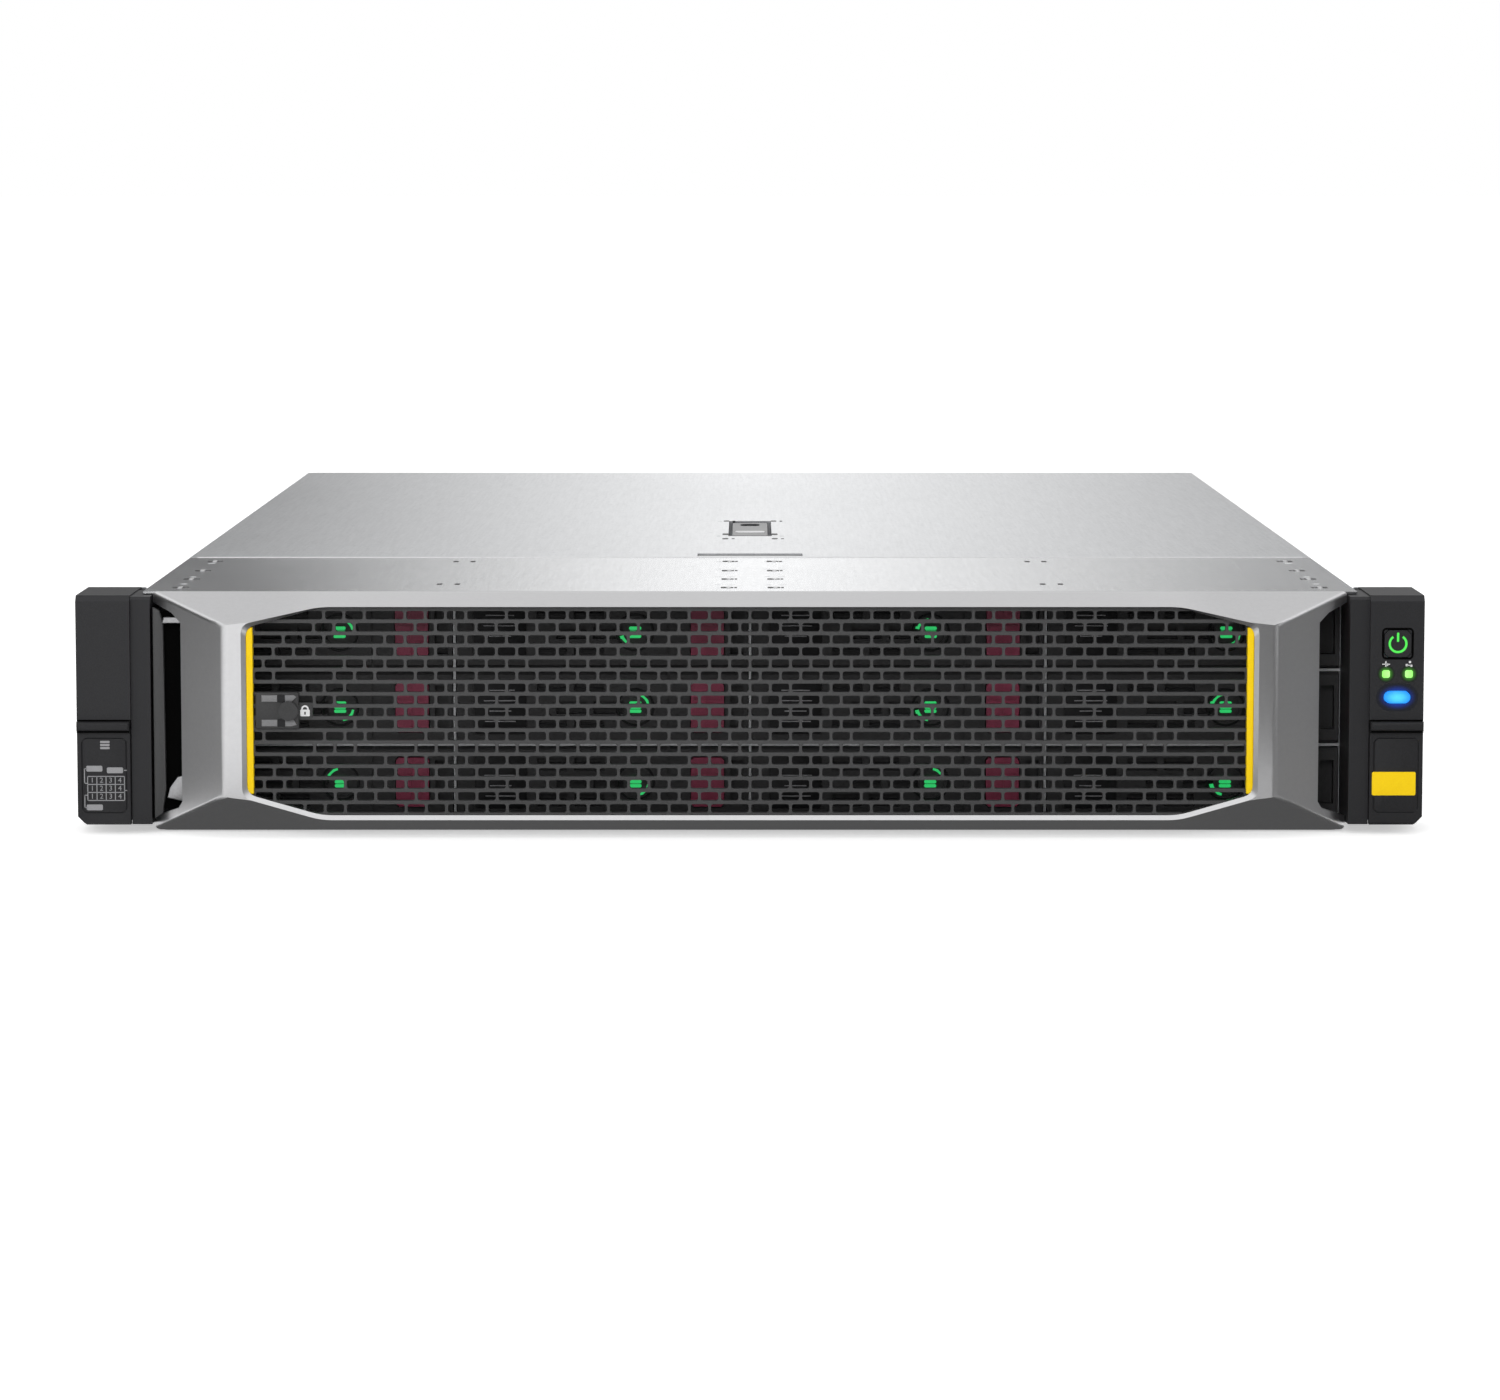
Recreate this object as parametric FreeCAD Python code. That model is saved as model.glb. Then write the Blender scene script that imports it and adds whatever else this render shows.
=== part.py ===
import FreeCAD
import Part
import math
import os

V = FreeCAD.Vector

# Driving sizes in millimetres. X is right, Y runs to the rear, Z is up.
# Depths are measured from the front face of the ears until the last move.
RACK_WIDTH = 482.6
RACK_HOLE_MARGIN = 8.75
EAR_REACH = 22.8
CHASSIS_HEIGHT = 86.4
SHEET = 1.2
COVER_SHEET = 1.0
SLIDE_GAP = 0.3
FRONT_LIP_DEPTH = 12.0
BAY_FRONT = 32.0
REAR_DEPTH = 712.0
COVER_SEAM = 169.0
COVER_TRAVEL = 12.0
RUNNING_FIT = 0.05
CHASSIS_WIDTH = RACK_WIDTH - 2 * EAR_REACH
CHASSIS_HALF = CHASSIS_WIDTH / 2
INNER_HALF = CHASSIS_HALF - SHEET
COVER_LOW = CHASSIS_HEIGHT - COVER_SHEET
WALL_TOP = COVER_LOW - SLIDE_GAP

# Ears
EAR_OVERLAP = 3.6
EAR_STEP_GAP = 3.5
EAR_LOW = 3.2
EAR_TOP_DROP = 0.6
EAR_WALL = 2.0
EAR_FRONT_WALL = 2.5
EAR_STRIP_SETBACK = 2.0
EAR_CORNER_CUT = 4.0
FLANGE_FRONT = 38.0
FLANGE_THICK = 2.0
FLANGE_LEG = 42.0
LEVER_DROP = 45.4
LIP_HEIGHT = 3.2
LIP_PROUD = 1.2
LEVER_THICK = 3.2
LEVER_BAY_DEPTH = 14.5
LEVER_BARREL_HALF = 3.4
LEVER_PIN_RADIUS = 1.5
LEVER_PIN_Y = 7.0
LEVER_PIN_Z = 9.5
RACK_SCREW_Z = 21.4
RACK_HOLE_RADIUS = 3.4
POWER_SIZE = 9.6
POWER_DROP = 17.2
LIGHT_DROP = 28.1
LIGHT_SPACING = 8.2
LIGHT_SIZE = 2.8
IDENT_DROP = 36.5
IDENT_WIDTH = 9.4
IDENT_HEIGHT = 4.4
BUTTON_MARGIN = 9.5
BUTTON_CLEAR = 0.3
BUTTON_DEPTH = 5.0
BUTTON_TRAVEL = 1.0
EAR_INNER = CHASSIS_HALF - EAR_OVERLAP
EAR_STEP = CHASSIS_HALF + EAR_STEP_GAP
EAR_HIGH = CHASSIS_HEIGHT - EAR_TOP_DROP
LEVER_TOP = EAR_HIGH - LEVER_DROP
BUTTON_X = RACK_WIDTH / 2 - BUTTON_MARGIN
POWER_Z = EAR_HIGH - POWER_DROP
LIGHT_Z = EAR_HIGH - LIGHT_DROP
IDENT_Z = EAR_HIGH - IDENT_DROP
RACK_HOLE_SPACING = RACK_WIDTH - 2 * RACK_HOLE_MARGIN

# Bezel and grille
BEZEL_FRONT = -10.5
BEZEL_BACK = 7.5
BEZEL_CLEAR = 0.6
BEZEL_LOW = 1.6
BEZEL_RISE = 0.4
BEZEL_WALL = 2.2
BEZEL_TRAVEL = 60.0
WING_SPAN = 25.3
WING_NOTCH_WIDTH = 10.5
WING_NOTCH_LOW = 6.4
WING_NOTCH_DROP = 5.7
BAR_WIDTH = 8.0
BAR_EDGE = 1.4
TOP_BAR_FALL = 2.5
CORNER_FALL = 8.7
CORNER_RUN = 26.0
WINDOW_LIP = 1.5
WINDOW_CORNER_FALL = 7.6
WINDOW_CORNER_RUN = 26.6
WINDOW_BEVEL = 1.3
WINDOW_BEVEL_DEPTH = 2.0
RIM_LOW = 6.4
RIM_SIDE_LOW = 14.6
GRILLE_FRONT = -7.0
GRILLE_THICK = 2.4
GRILLE_ROWS = 17
GRILLE_COLUMNS = 11
GRILLE_WEB = 1.2
ACCENT_WIDTH = 2.4
BEZEL_HALF = EAR_INNER - BEZEL_CLEAR
BEZEL_HIGH = CHASSIS_HEIGHT + BEZEL_RISE
WING_EDGE_HALF = BEZEL_HALF - WING_NOTCH_WIDTH
WING_NOTCH_HIGH = BEZEL_HIGH - WING_NOTCH_DROP
RIM_HALF = BEZEL_HALF - WING_SPAN
RIM_INNER_HALF = RIM_HALF - BAR_WIDTH
RIM_FLAT_HALF = RIM_INNER_HALF - CORNER_RUN
RIM_HIGH = BEZEL_HIGH - TOP_BAR_FALL
RIM_SIDE_HIGH = RIM_HIGH - CORNER_FALL
WINDOW_HALF = RIM_INNER_HALF - BAR_EDGE
WINDOW_FLAT_HALF = WINDOW_HALF - WINDOW_CORNER_RUN
WINDOW_LOW = RIM_LOW + WINDOW_LIP
WINDOW_HIGH = RIM_HIGH - WINDOW_LIP
WINDOW_SIDE_LOW = WINDOW_LOW + WINDOW_CORNER_FALL
WINDOW_SIDE_HIGH = WINDOW_HIGH - WINDOW_CORNER_FALL

# Bezel lock
LOCK_INSET = 15.0
LOCK_PLATE_GAP = 3.2
LOCK_PLATE_WIDTH = 15.5
LOCK_PLATE_HALF_HEIGHT = 6.3
LOCK_DEPTH = 8.0
KEY_RADIUS = 3.4
LOCK_X = -WINDOW_HALF + LOCK_INSET
LOCK_Z = (WINDOW_LOW + WINDOW_HIGH) / 2
LOCK_PLATE_LEFT = -WINDOW_HALF + LOCK_PLATE_GAP
LOCK_PLATE_RIGHT = LOCK_PLATE_LEFT + LOCK_PLATE_WIDTH

# Drive bays
BAY_COLUMNS = 4
BAY_ROWS = 3
BAY_HEAD_ROOM = 3.0
DRIVE_EAR_GAP = 0.5
CAGE_WALL = 0.9
PLUG_ROOM = 6.0
DRIVE_CLEAR = 0.35
DRIVE_LENGTH = 150.0
DRIVE_FACE_THICK = 9.0
DRIVE_RAIL = 2.3
RELEASE_MARGIN = 9.5
RELEASE_WIDTH = 12.0
RELEASE_HEAD_ROOM = 4.7
RELEASE_PROUD = 1.0
RELEASE_DEPTH = 6.0
RELEASE_TRAVEL = 2.0
LIGHT_RING_MARGIN = 41.8
LIGHT_RING_RADIUS = 5.4
LEVER_SEAM_MARGIN = 30.2
DRIVE_TRAVEL = 22.0
BACKPLANE_THICK = 2.0
BAY_PITCH_X = 2 * (EAR_INNER - DRIVE_EAR_GAP + DRIVE_CLEAR + CAGE_WALL / 2) / BAY_COLUMNS
DRIVE_HALF = (BAY_PITCH_X - CAGE_WALL) / 2 - DRIVE_CLEAR
BAY_PITCH_Z = (CHASSIS_HEIGHT - SHEET - BAY_HEAD_ROOM) / BAY_ROWS
BAY_MID_Z = SHEET + BAY_ROWS * BAY_PITCH_Z / 2
CAGE_TOP = SHEET + BAY_ROWS * BAY_PITCH_Z + CAGE_WALL / 2
CAGE_DEPTH = DRIVE_LENGTH + PLUG_ROOM
CAGE_REAR = BAY_FRONT + CAGE_DEPTH
RELEASE_HEIGHT = BAY_PITCH_Z - 2 * RELEASE_HEAD_ROOM

# Cooling
FAN_COUNT = 6
FAN_BLADES = 7
FAN_SIDE_ROOM = 5.8
FAN_DUCT_WALL = 3.75
FAN_TIP_GAP = 1.1
FAN_GAP = 15.0
FAN_DEPTH = 42.0
FAN_HUB_RADIUS = 15.0
FAN_SHAFT_RADIUS = 3.0
FAN_ROTOR_LENGTH = 22.0
FAN_TOP_ROOM = 1.2
FAN_PITCH = 2 * (INNER_HALF - FAN_SIDE_ROOM) / FAN_COUNT
FAN_FRONT = CAGE_REAR + BACKPLANE_THICK + FAN_GAP
FAN_TOP = WALL_TOP - FAN_TOP_ROOM
FAN_MID_Z = (SHEET + FAN_TOP) / 2
FAN_HOLE_RADIUS = FAN_PITCH / 2 - FAN_DUCT_WALL
FAN_TIP_RADIUS = FAN_HOLE_RADIUS - FAN_TIP_GAP

# Power supplies
PSU_WIDTH = 73.5
PSU_HEIGHT = 39.6
PSU_LENGTH = 185.0
PSU_GAP = 2.4
PSU_CLEAR = 0.4
PSU_HANDLE_REACH = 27.5
PSU_TRAVEL = 190.0
PSU_BAY_EXTRA = 8.0
INLET_WIDTH = 27.0
INLET_HEIGHT = 19.5
INLET_DEPTH = 14.0
INLET_MARGIN = 4.0
PSU_LOW = SHEET + PSU_CLEAR
PSU_SHELF_LOW = PSU_LOW + PSU_HEIGHT + PSU_CLEAR
PSU_BAY_FRONT = REAR_DEPTH - PSU_LENGTH - PSU_BAY_EXTRA
PSU_BAY_END = -INNER_HALF + 2 * PSU_CLEAR + 2 * PSU_WIDTH + PSU_GAP

# Board and what stands on it
BOARD_LOW = 9.0
BOARD_THICK = 1.6
BOARD_GAP = 9.0
BOARD_SIDE_ROOM = 3.0
BOARD_BAY_ROOM = 4.0
BOARD_FRONT = FAN_FRONT + FAN_DEPTH + BOARD_GAP
BOARD_TOP = BOARD_LOW + BOARD_THICK
BOARD_REAR = REAR_DEPTH - SHEET - 0.5
BOARD_BAY_FRONT = PSU_BAY_FRONT - BOARD_BAY_ROOM
BOARD_HALF = INNER_HALF - BOARD_SIDE_ROOM
HEATSINK_WIDTH = 92.0
HEATSINK_LENGTH = 100.0
HEATSINK_START = 54.0
HEATSINK_LEFT_MARGIN = 109.3
HEATSINK_RIGHT_MARGIN = 121.3
HEATSINK_HEAD_ROOM = 18.4
HEATSINK_BASE = 6.0
FIN_COUNT = 13
FIN_THICK = 1.4
MODULE_START = 44.0
MODULE_LENGTH = 134.0
MODULE_HEIGHT = 24.0
MODULE_PITCH = 8.0
SOCKET_HEIGHT = 9.0
SOCKET_EXTRA = 4.0
BAFFLE_THICK = 1.8
BAFFLE_RISE = 5.0
BAFFLE_STEP = 2.0
HEATSINK_X = (-INNER_HALF + HEATSINK_LEFT_MARGIN, INNER_HALF - HEATSINK_RIGHT_MARGIN)
HEATSINK_FRONT = BOARD_FRONT + HEATSINK_START
HEATSINK_TOP = CHASSIS_HEIGHT - HEATSINK_HEAD_ROOM
MODULE_FRONT = BOARD_FRONT + MODULE_START

# Rear slots, ports and side studs
SLOT_PITCH = 20.32
SLOT_LOW_Z = 23.5
SLOT_WIDTH = 102.0
SLOT_HEIGHT = 11.5
SLOT_MARGIN = 14.0
SLOT_GROUP_GAP = 10.0
SLOT_COVER_EDGE = 3.0
RISER_LENGTH = 150.0
RISER_HEAD_ROOM = 8.4
PORTS_GAP = 8.0
PORTS_WIDTH = 110.0
PORTS_HEIGHT = 18.5
PORTS_DEPTH = 20.0
PORT_PITCH = 14.0
RAIL_STUD_RADIUS = 3.2
RAIL_STUD_LENGTH = 4.0
RAIL_STUD_INSET = 80.0
SLOT_PRIMARY_X = INNER_HALF - SLOT_MARGIN - SLOT_WIDTH / 2
SLOT_SECOND_X = SLOT_PRIMARY_X - SLOT_WIDTH - SLOT_GROUP_GAP
PORTS_LEFT = PSU_BAY_END + SHEET + PORTS_GAP
PORTS_RIGHT = PORTS_LEFT + PORTS_WIDTH
RAIL_STUD_Z = CHASSIS_HEIGHT / 2

# Cover latch
LATCH_START = 119.0
LATCH_LENGTH = 75.0
LATCH_HALF = 7.3
LATCH_THICK = 1.2
LATCH_PIN_RADIUS = 1.5
LATCH_PIN_INSET = 2.6
LATCH_PAN_DEPTH = 8.0
LATCH_SINK = 0.2
FINGER_HALF = 20.6
FINGER_START = 8.0
FINGER_LENGTH = 14.0
LATCH_FRONT = COVER_SEAM + LATCH_START
LATCH_REAR = LATCH_FRONT + LATCH_LENGTH
LATCH_PIN_Y = LATCH_FRONT + LATCH_PIN_INSET
LATCH_PIN_Z = CHASSIS_HEIGHT - LATCH_SINK - LATCH_PIN_INSET
FINGER_FRONT = COVER_SEAM + FINGER_START
FINGER_REAR = FINGER_FRONT + FINGER_LENGTH

REAR_REACH = REAR_DEPTH + PSU_HANDLE_REACH
Y_SHIFT = -(BEZEL_FRONT + REAR_REACH) / 2


def box(x0, x1, y0, y1, z0, z1):
    return Part.makeBox(x1 - x0, y1 - y0, z1 - z0, V(x0, y0, z0))


def prism_y(points, y0, y1):
    # A flat outline of (x, z) points pushed along Y.
    wire = Part.makePolygon([V(x, y0, z) for x, z in points + points[:1]])
    return Part.Face(wire).extrude(V(0, y1 - y0, 0))


def prism_x(points, x0, x1):
    # A flat outline of (y, z) points pushed along X.
    wire = Part.makePolygon([V(x0, y, z) for y, z in points + points[:1]])
    return Part.Face(wire).extrude(V(x1 - x0, 0, 0))


def prism_z(points, z0, z1):
    # A flat outline of (x, y) points pushed along Z.
    wire = Part.makePolygon([V(x, y, z0) for x, y in points + points[:1]])
    return Part.Face(wire).extrude(V(0, 0, z1 - z0))


def rod_y(radius, x, z, y0, y1):
    return Part.makeCylinder(radius, y1 - y0, V(x, y0, z), V(0, 1, 0))


def rod_x(radius, y, z, x0, x1):
    return Part.makeCylinder(radius, x1 - x0, V(x0, y, z), V(1, 0, 0))


def polygon(radius, middle_x, middle_y, sides):
    # Corners of a regular outline.
    corners = []
    for step in range(sides):
        angle = 2 * math.pi * step / sides
        corners.append((middle_x + radius * math.cos(angle), middle_y + radius * math.sin(angle)))
    return corners


def peg_z(radius, x, y, z0, z1):
    # Six-sided upright peg.
    return prism_z(polygon(radius, x, y, 6), z0, z1)


def join(shapes):
    whole = shapes[0]
    if len(shapes) > 1:
        whole = whole.fuse(shapes[1:])
    return whole.removeSplitter()


def mirror_x(shape):
    return shape.mirror(V(0, 0, 0), V(1, 0, 0))


def cut_corners(x0, x1, z0, z1, cut):
    # Rectangle outline with its four corners cut at 45 degrees.
    return [
        (x0 + cut, z0), (x1 - cut, z0), (x1, z0 + cut), (x1, z1 - cut),
        (x1 - cut, z1), (x0 + cut, z1), (x0, z1 - cut), (x0, z0 + cut),
    ]


def pill_y(x0, x1, z0, z1, y0, y1):
    # Slot shape with round ends, pushed along Y.
    radius = (z1 - z0) / 2
    middle = (z0 + z1) / 2
    left = rod_y(radius, x0 + radius, middle, y0, y1)
    right = rod_y(radius, x1 - radius, middle, y0, y1)
    return join([box(x0 + radius, x1 - radius, y0, y1, z0, z1), left, right])


def save(name, shape):
    moved = shape.copy()
    moved.translate(V(0, Y_SHIFT, 0))
    moved.exportStep("parts/" + name + ".step")


def chassis_tray():
    # Folded steel tray with the power supply bay and rail studs welded in.
    outer = CHASSIS_HALF
    fold = [
        (-outer, 0), (outer, 0), (outer, WALL_TOP), (INNER_HALF, WALL_TOP), (INNER_HALF, SHEET),
        (-INNER_HALF, SHEET), (-INNER_HALF, WALL_TOP), (-outer, WALL_TOP),
    ]
    tray = prism_y(fold, BAY_FRONT, REAR_DEPTH)
    bay_rear = REAR_DEPTH - SHEET
    shelf_top = PSU_SHELF_LOW + SHEET
    shelf = box(-INNER_HALF, PSU_BAY_END + SHEET, PSU_BAY_FRONT, bay_rear, PSU_SHELF_LOW, shelf_top)
    side = box(PSU_BAY_END, PSU_BAY_END + SHEET, PSU_BAY_FRONT, bay_rear, SHEET, PSU_SHELF_LOW)
    divider_left = psu_left(1) - PSU_GAP / 2 - SHEET / 2
    divider_right = divider_left + SHEET
    divider = box(divider_left, divider_right, PSU_BAY_FRONT, bay_rear, SHEET, PSU_SHELF_LOW)
    studs = []
    stud_front = BAY_FRONT + RAIL_STUD_INSET
    stud_rear = REAR_DEPTH - RAIL_STUD_INSET
    for y in (stud_front, (stud_front + stud_rear) / 2, stud_rear):
        shank = rod_x(RAIL_STUD_RADIUS, y, RAIL_STUD_Z, outer - SHEET / 2, outer + RAIL_STUD_LENGTH)
        head_outline = polygon(RAIL_STUD_RADIUS + 1.3, y, RAIL_STUD_Z, 8)
        head = prism_x(head_outline, outer + RAIL_STUD_LENGTH - 1.0, outer + RAIL_STUD_LENGTH)
        studs.append(shank)
        studs.append(head)
        studs.append(mirror_x(shank))
        studs.append(mirror_x(head))
    tray = join([tray, shelf, side, divider] + studs)
    vents = []
    for column in range(6):
        for row in range(2):
            x = (column - 2.5) * INNER_HALF / 3.5
            y = PSU_BAY_FRONT - 60 + row * 24
            vents.append(box(x - 20, x + 20, y, y + 4, -1, SHEET + 1))
    return tray.cut(vents)


def psu_left(index):
    return -INNER_HALF + PSU_CLEAR + index * (PSU_WIDTH + PSU_GAP)


def slot_places():
    # Middle X and Z of each expansion slot seen on the rear panel.
    primary = [(SLOT_PRIMARY_X, SLOT_LOW_Z + i * SLOT_PITCH) for i in range(3)]
    secondary = [(SLOT_SECOND_X, SLOT_LOW_Z + i * SLOT_PITCH) for i in range(1, 3)]
    return primary + secondary


def rear_panel():
    y0 = REAR_DEPTH - SHEET
    panel = box(-INNER_HALF, INNER_HALF, y0, REAR_DEPTH, SHEET, WALL_TOP)
    cuts = [box(-INNER_HALF - 1, PSU_BAY_END, y0 - 1, REAR_DEPTH + 1, 0, PSU_SHELF_LOW)]
    cuts.append(box(PORTS_LEFT, PORTS_RIGHT, y0 - 1, REAR_DEPTH + 1, BOARD_TOP, BOARD_TOP + PORTS_HEIGHT))
    for x, z in slot_places():
        half_x = SLOT_WIDTH / 2
        half_z = SLOT_HEIGHT / 2
        outline = cut_corners(x - half_x, x + half_x, z - half_z, z + half_z, 1.5)
        cuts.append(prism_y(outline, y0 - 1, REAR_DEPTH + 1))
    for column in range(9):
        for row in range(4):
            x = -INNER_HALF + 12 + column * 14.5 + (row % 2) * 3
            pitch = (WALL_TOP - PSU_SHELF_LOW - SHEET - 10) / 4
            z = PSU_SHELF_LOW + SHEET + 7 + row * pitch
            cuts.append(box(x, x + 11, y0 - 1, REAR_DEPTH + 1, z, z + pitch - 2.6))
    return panel.cut(cuts)


def port_boxes():
    # Left, right, low, high of each socket in the block of rear ports.
    low = BOARD_TOP
    network = []
    for i in range(5):
        start = PORTS_LEFT + 3 + i * PORT_PITCH
        network.append((start, start + PORT_PITCH - 2, low + 3, low + 12))
    start = PORTS_LEFT + 3 + 5 * PORT_PITCH
    usb = []
    for row in range(2):
        usb.append((start, start + 13, low + 2.5 + row * 8, low + 8.5 + row * 8))
    video = [(start + 16, start + 33, low + 4, low + 12.5)]
    return network, usb, video


def rear_ports():
    low = BOARD_TOP
    block = box(
        PORTS_LEFT, PORTS_RIGHT, REAR_DEPTH - PORTS_DEPTH, REAR_DEPTH + 0.6, low, low + PORTS_HEIGHT
    )
    network, usb, video = port_boxes()
    cuts = []
    for x0, x1, z0, z1 in network:
        socket = box(x0, x1, REAR_DEPTH - 11, REAR_DEPTH + 1, z0, z1)
        clip = box(x0 + 4, x1 - 4, REAR_DEPTH - 6, REAR_DEPTH + 1, z1, z1 + 2)
        cuts.append(socket.fuse(clip))
    for x0, x1, z0, z1 in usb:
        tongue = box(x0 + 1, x1 - 1, REAR_DEPTH - 10, REAR_DEPTH - 0.5, z1 - 3, z1 - 1)
        cuts.append(box(x0, x1, REAR_DEPTH - 9, REAR_DEPTH + 1, z0, z1).cut(tongue))
    for x0, x1, z0, z1 in video:
        taper = [(x0 + 1.5, z0), (x1 - 1.5, z0), (x1, z1), (x0, z1)]
        cuts.append(prism_y(taper, REAR_DEPTH - 6, REAR_DEPTH + 1))
    return block.cut(cuts)


def riser_cages():
    # Bracket sheets with a blank cover behind every slot of the rear panel.
    y1 = REAR_DEPTH - SHEET
    y0 = y1 - RISER_LENGTH
    top = CHASSIS_HEIGHT - RISER_HEAD_ROOM
    half = SLOT_WIDTH / 2 + SLOT_COVER_EDGE
    cover_half = SLOT_PITCH / 2 - 0.66
    pieces = []
    for x, z in slot_places():
        cover = box(x - half, x + half, y1 - 1, y1, z - cover_half, z + cover_half)
        vents = []
        for i in range(5):
            vent_x = x - SLOT_WIDTH / 2 + 6 + i * 18.5
            vents.append(box(vent_x, vent_x + 15, y1 - 2, y1 + 1, z - 2.2, z + 2.2))
        pieces.append(cover.cut(vents))
    for x, low in ((SLOT_PRIMARY_X, BOARD_TOP), (SLOT_SECOND_X, BOARD_TOP + PORTS_HEIGHT + 1)):
        edge = x + half
        profile = [(y0, low + 20), (y0 + 20, low), (y1, low), (y1, top), (y0, top)]
        wall = prism_x(profile, edge - SHEET, edge)
        roof = box(x - half, edge, y0, y1, top, top + SHEET)
        card = box(edge - 14, edge - 12.4, y0 + 15, y1 - 12, low, top)
        back = box(x - half, x - half + SHEET, y1 - 20, y1, low, top)
        pieces += [wall, roof, card, back]
    return join(pieces)


def front_top_cover():
    outer = CHASSIS_HALF
    top = box(-outer, outer, FRONT_LIP_DEPTH, COVER_SEAM, COVER_LOW, CHASSIS_HEIGHT)
    lip = box(-INNER_HALF, -INNER_HALF + COVER_SHEET, BAY_FRONT, COVER_SEAM, COVER_LOW - 1.2, COVER_LOW)
    nose_half = EAR_INNER - 2
    nose = box(-nose_half, nose_half, FRONT_LIP_DEPTH, FRONT_LIP_DEPTH + 1, COVER_LOW - 1.6, COVER_LOW)
    cover = join([top, lip, mirror_x(lip), nose])
    dimples = []
    for row in range(4):
        for x in (-12.0, -6.5, 6.5, 12.0):
            y = FRONT_LIP_DEPTH + 28 + row * 36
            dimples.append(peg_z(1.2, x, y, COVER_LOW + 0.5, CHASSIS_HEIGHT + 1))
    for row in range(4):
        for side in (-1, 1):
            x = side * (CHASSIS_HALF - 11.5)
            y = FRONT_LIP_DEPTH + 32 + row * 32
            dimples.append(peg_z(1.4, x, y, COVER_LOW + 0.5, CHASSIS_HEIGHT + 1))
    return cover.cut(dimples)


def drive_middle(column, row):
    x = (column - (BAY_COLUMNS - 1) / 2) * BAY_PITCH_X
    z = BAY_MID_Z + (row - (BAY_ROWS - 1) / 2) * BAY_PITCH_Z
    return x, z


def drive_cage():
    block = box(-INNER_HALF, INNER_HALF, BAY_FRONT, CAGE_REAR, SHEET, CAGE_TOP)
    pockets = []
    for column in range(BAY_COLUMNS):
        for row in range(BAY_ROWS):
            x, z = drive_middle(column, row)
            half_x = (BAY_PITCH_X - CAGE_WALL) / 2
            half_z = (BAY_PITCH_Z - CAGE_WALL) / 2
            back = CAGE_REAR + 1
            pockets.append(box(x - half_x, x + half_x, BAY_FRONT - 1, back, z - half_z, z + half_z))
    lighten = []
    for column in range(BAY_COLUMNS):
        x, z = drive_middle(column, 0)
        for i in range(3):
            y = BAY_FRONT + 30 + i * 42
            lighten.append(box(x - 36, x + 36, y, y + 26, SHEET + 2, CAGE_TOP + 1))
    return block.cut(pockets + lighten)


def drive_backplane():
    y0 = CAGE_REAR
    board = box(-INNER_HALF, INNER_HALF, y0, y0 + BACKPLANE_THICK, SHEET, CAGE_TOP)
    holes = []
    plugs = []
    for column in range(BAY_COLUMNS):
        for row in range(BAY_ROWS):
            x, z = drive_middle(column, row)
            plugs.append(box(x - 22, x + 22, BAY_FRONT + DRIVE_LENGTH + 0.8, y0, z - 4, z + 4))
            for offset in (-46, 28):
                holes.append(box(x + offset, x + offset + 18, y0 - 1, y0 + 9, z - 7, z + 7))
    return join([board] + plugs).cut(holes)


def drive_carrier(column, row):
    # Plastic face with label recess, vents, light pit and release pocket, on a drive body.
    x, z = drive_middle(column, row)
    left = x - BAY_PITCH_X / 2
    right = x + BAY_PITCH_X / 2
    half_x = DRIVE_HALF
    half_z = (BAY_PITCH_Z - CAGE_WALL) / 2 - DRIVE_CLEAR
    y0 = BAY_FRONT
    y1 = y0 + DRIVE_FACE_THICK
    edge = 1.0
    profile = [(y0 + edge, z - half_z), (y1, z - half_z), (y1, z + half_z), (y0 + edge, z + half_z),
               (y0, z + half_z - edge), (y0, z - half_z + edge)]
    face = prism_x(profile, x - half_x, x + half_x)
    half_body = half_x - DRIVE_RAIL
    body = prism_z(
        [(x - half_body, y1), (x + half_body, y1), (x + half_body, y0 + DRIVE_LENGTH - 3),
         (x + half_body - 3, y0 + DRIVE_LENGTH), (x - half_body + 3, y0 + DRIVE_LENGTH),
         (x - half_body, y0 + DRIVE_LENGTH - 3)],
        z - half_z + 0.4, z + half_z - 0.4
    )
    rail = box(x + half_body, x + half_x, y1, y0 + DRIVE_LENGTH - 12, z - 6, z + 6)
    rail_left = box(x - half_x, x - half_body, y1, y0 + DRIVE_LENGTH - 12, z - 6, z + 6)
    carrier = join([face, body, rail, rail_left])
    cuts = [box(left + 6.5, left + 26.5, y0 - 1, y0 + 0.6, z - 10, z + 10)]
    for vent_row in range(3):
        start = left + 30 + (vent_row % 2) * 7
        for i in range(2):
            vent_x = start + i * 13.5
            vent_z = z - 9 + vent_row * 6.6
            cuts.append(box(vent_x, vent_x + 11, y0 - 1, y0 + 3, vent_z, vent_z + 4.6))
    cuts.append(prism_y(polygon(LIGHT_RING_RADIUS, right - LIGHT_RING_MARGIN, z, 12), y0 - 1, y0 + 0.8))
    seam = right - LEVER_SEAM_MARGIN
    cuts.append(box(seam, seam + 1, y0 - 1, y0 + 1, z - half_z - 1, z + half_z + 1))
    cuts.append(release_block(column, row, DRIVE_CLEAR, RELEASE_DEPTH + RELEASE_TRAVEL + 0.5))
    grip = right - RELEASE_MARGIN + 2.3
    cuts.append(box(grip, x + half_x - 1.5, y0 - 1, y0 + 5, z - 8, z + 8))
    return carrier.cut(cuts)


def release_block(column, row, grow, depth):
    x, z = drive_middle(column, row)
    right = x + BAY_PITCH_X / 2 - RELEASE_MARGIN
    outline = cut_corners(
        right - RELEASE_WIDTH - grow, right + grow,
        z - RELEASE_HEIGHT / 2 - grow, z + RELEASE_HEIGHT / 2 + grow, 1.0 + grow / 2
    )
    front = BAY_FRONT - RELEASE_PROUD
    return prism_y(outline, front, BAY_FRONT + depth)


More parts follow.
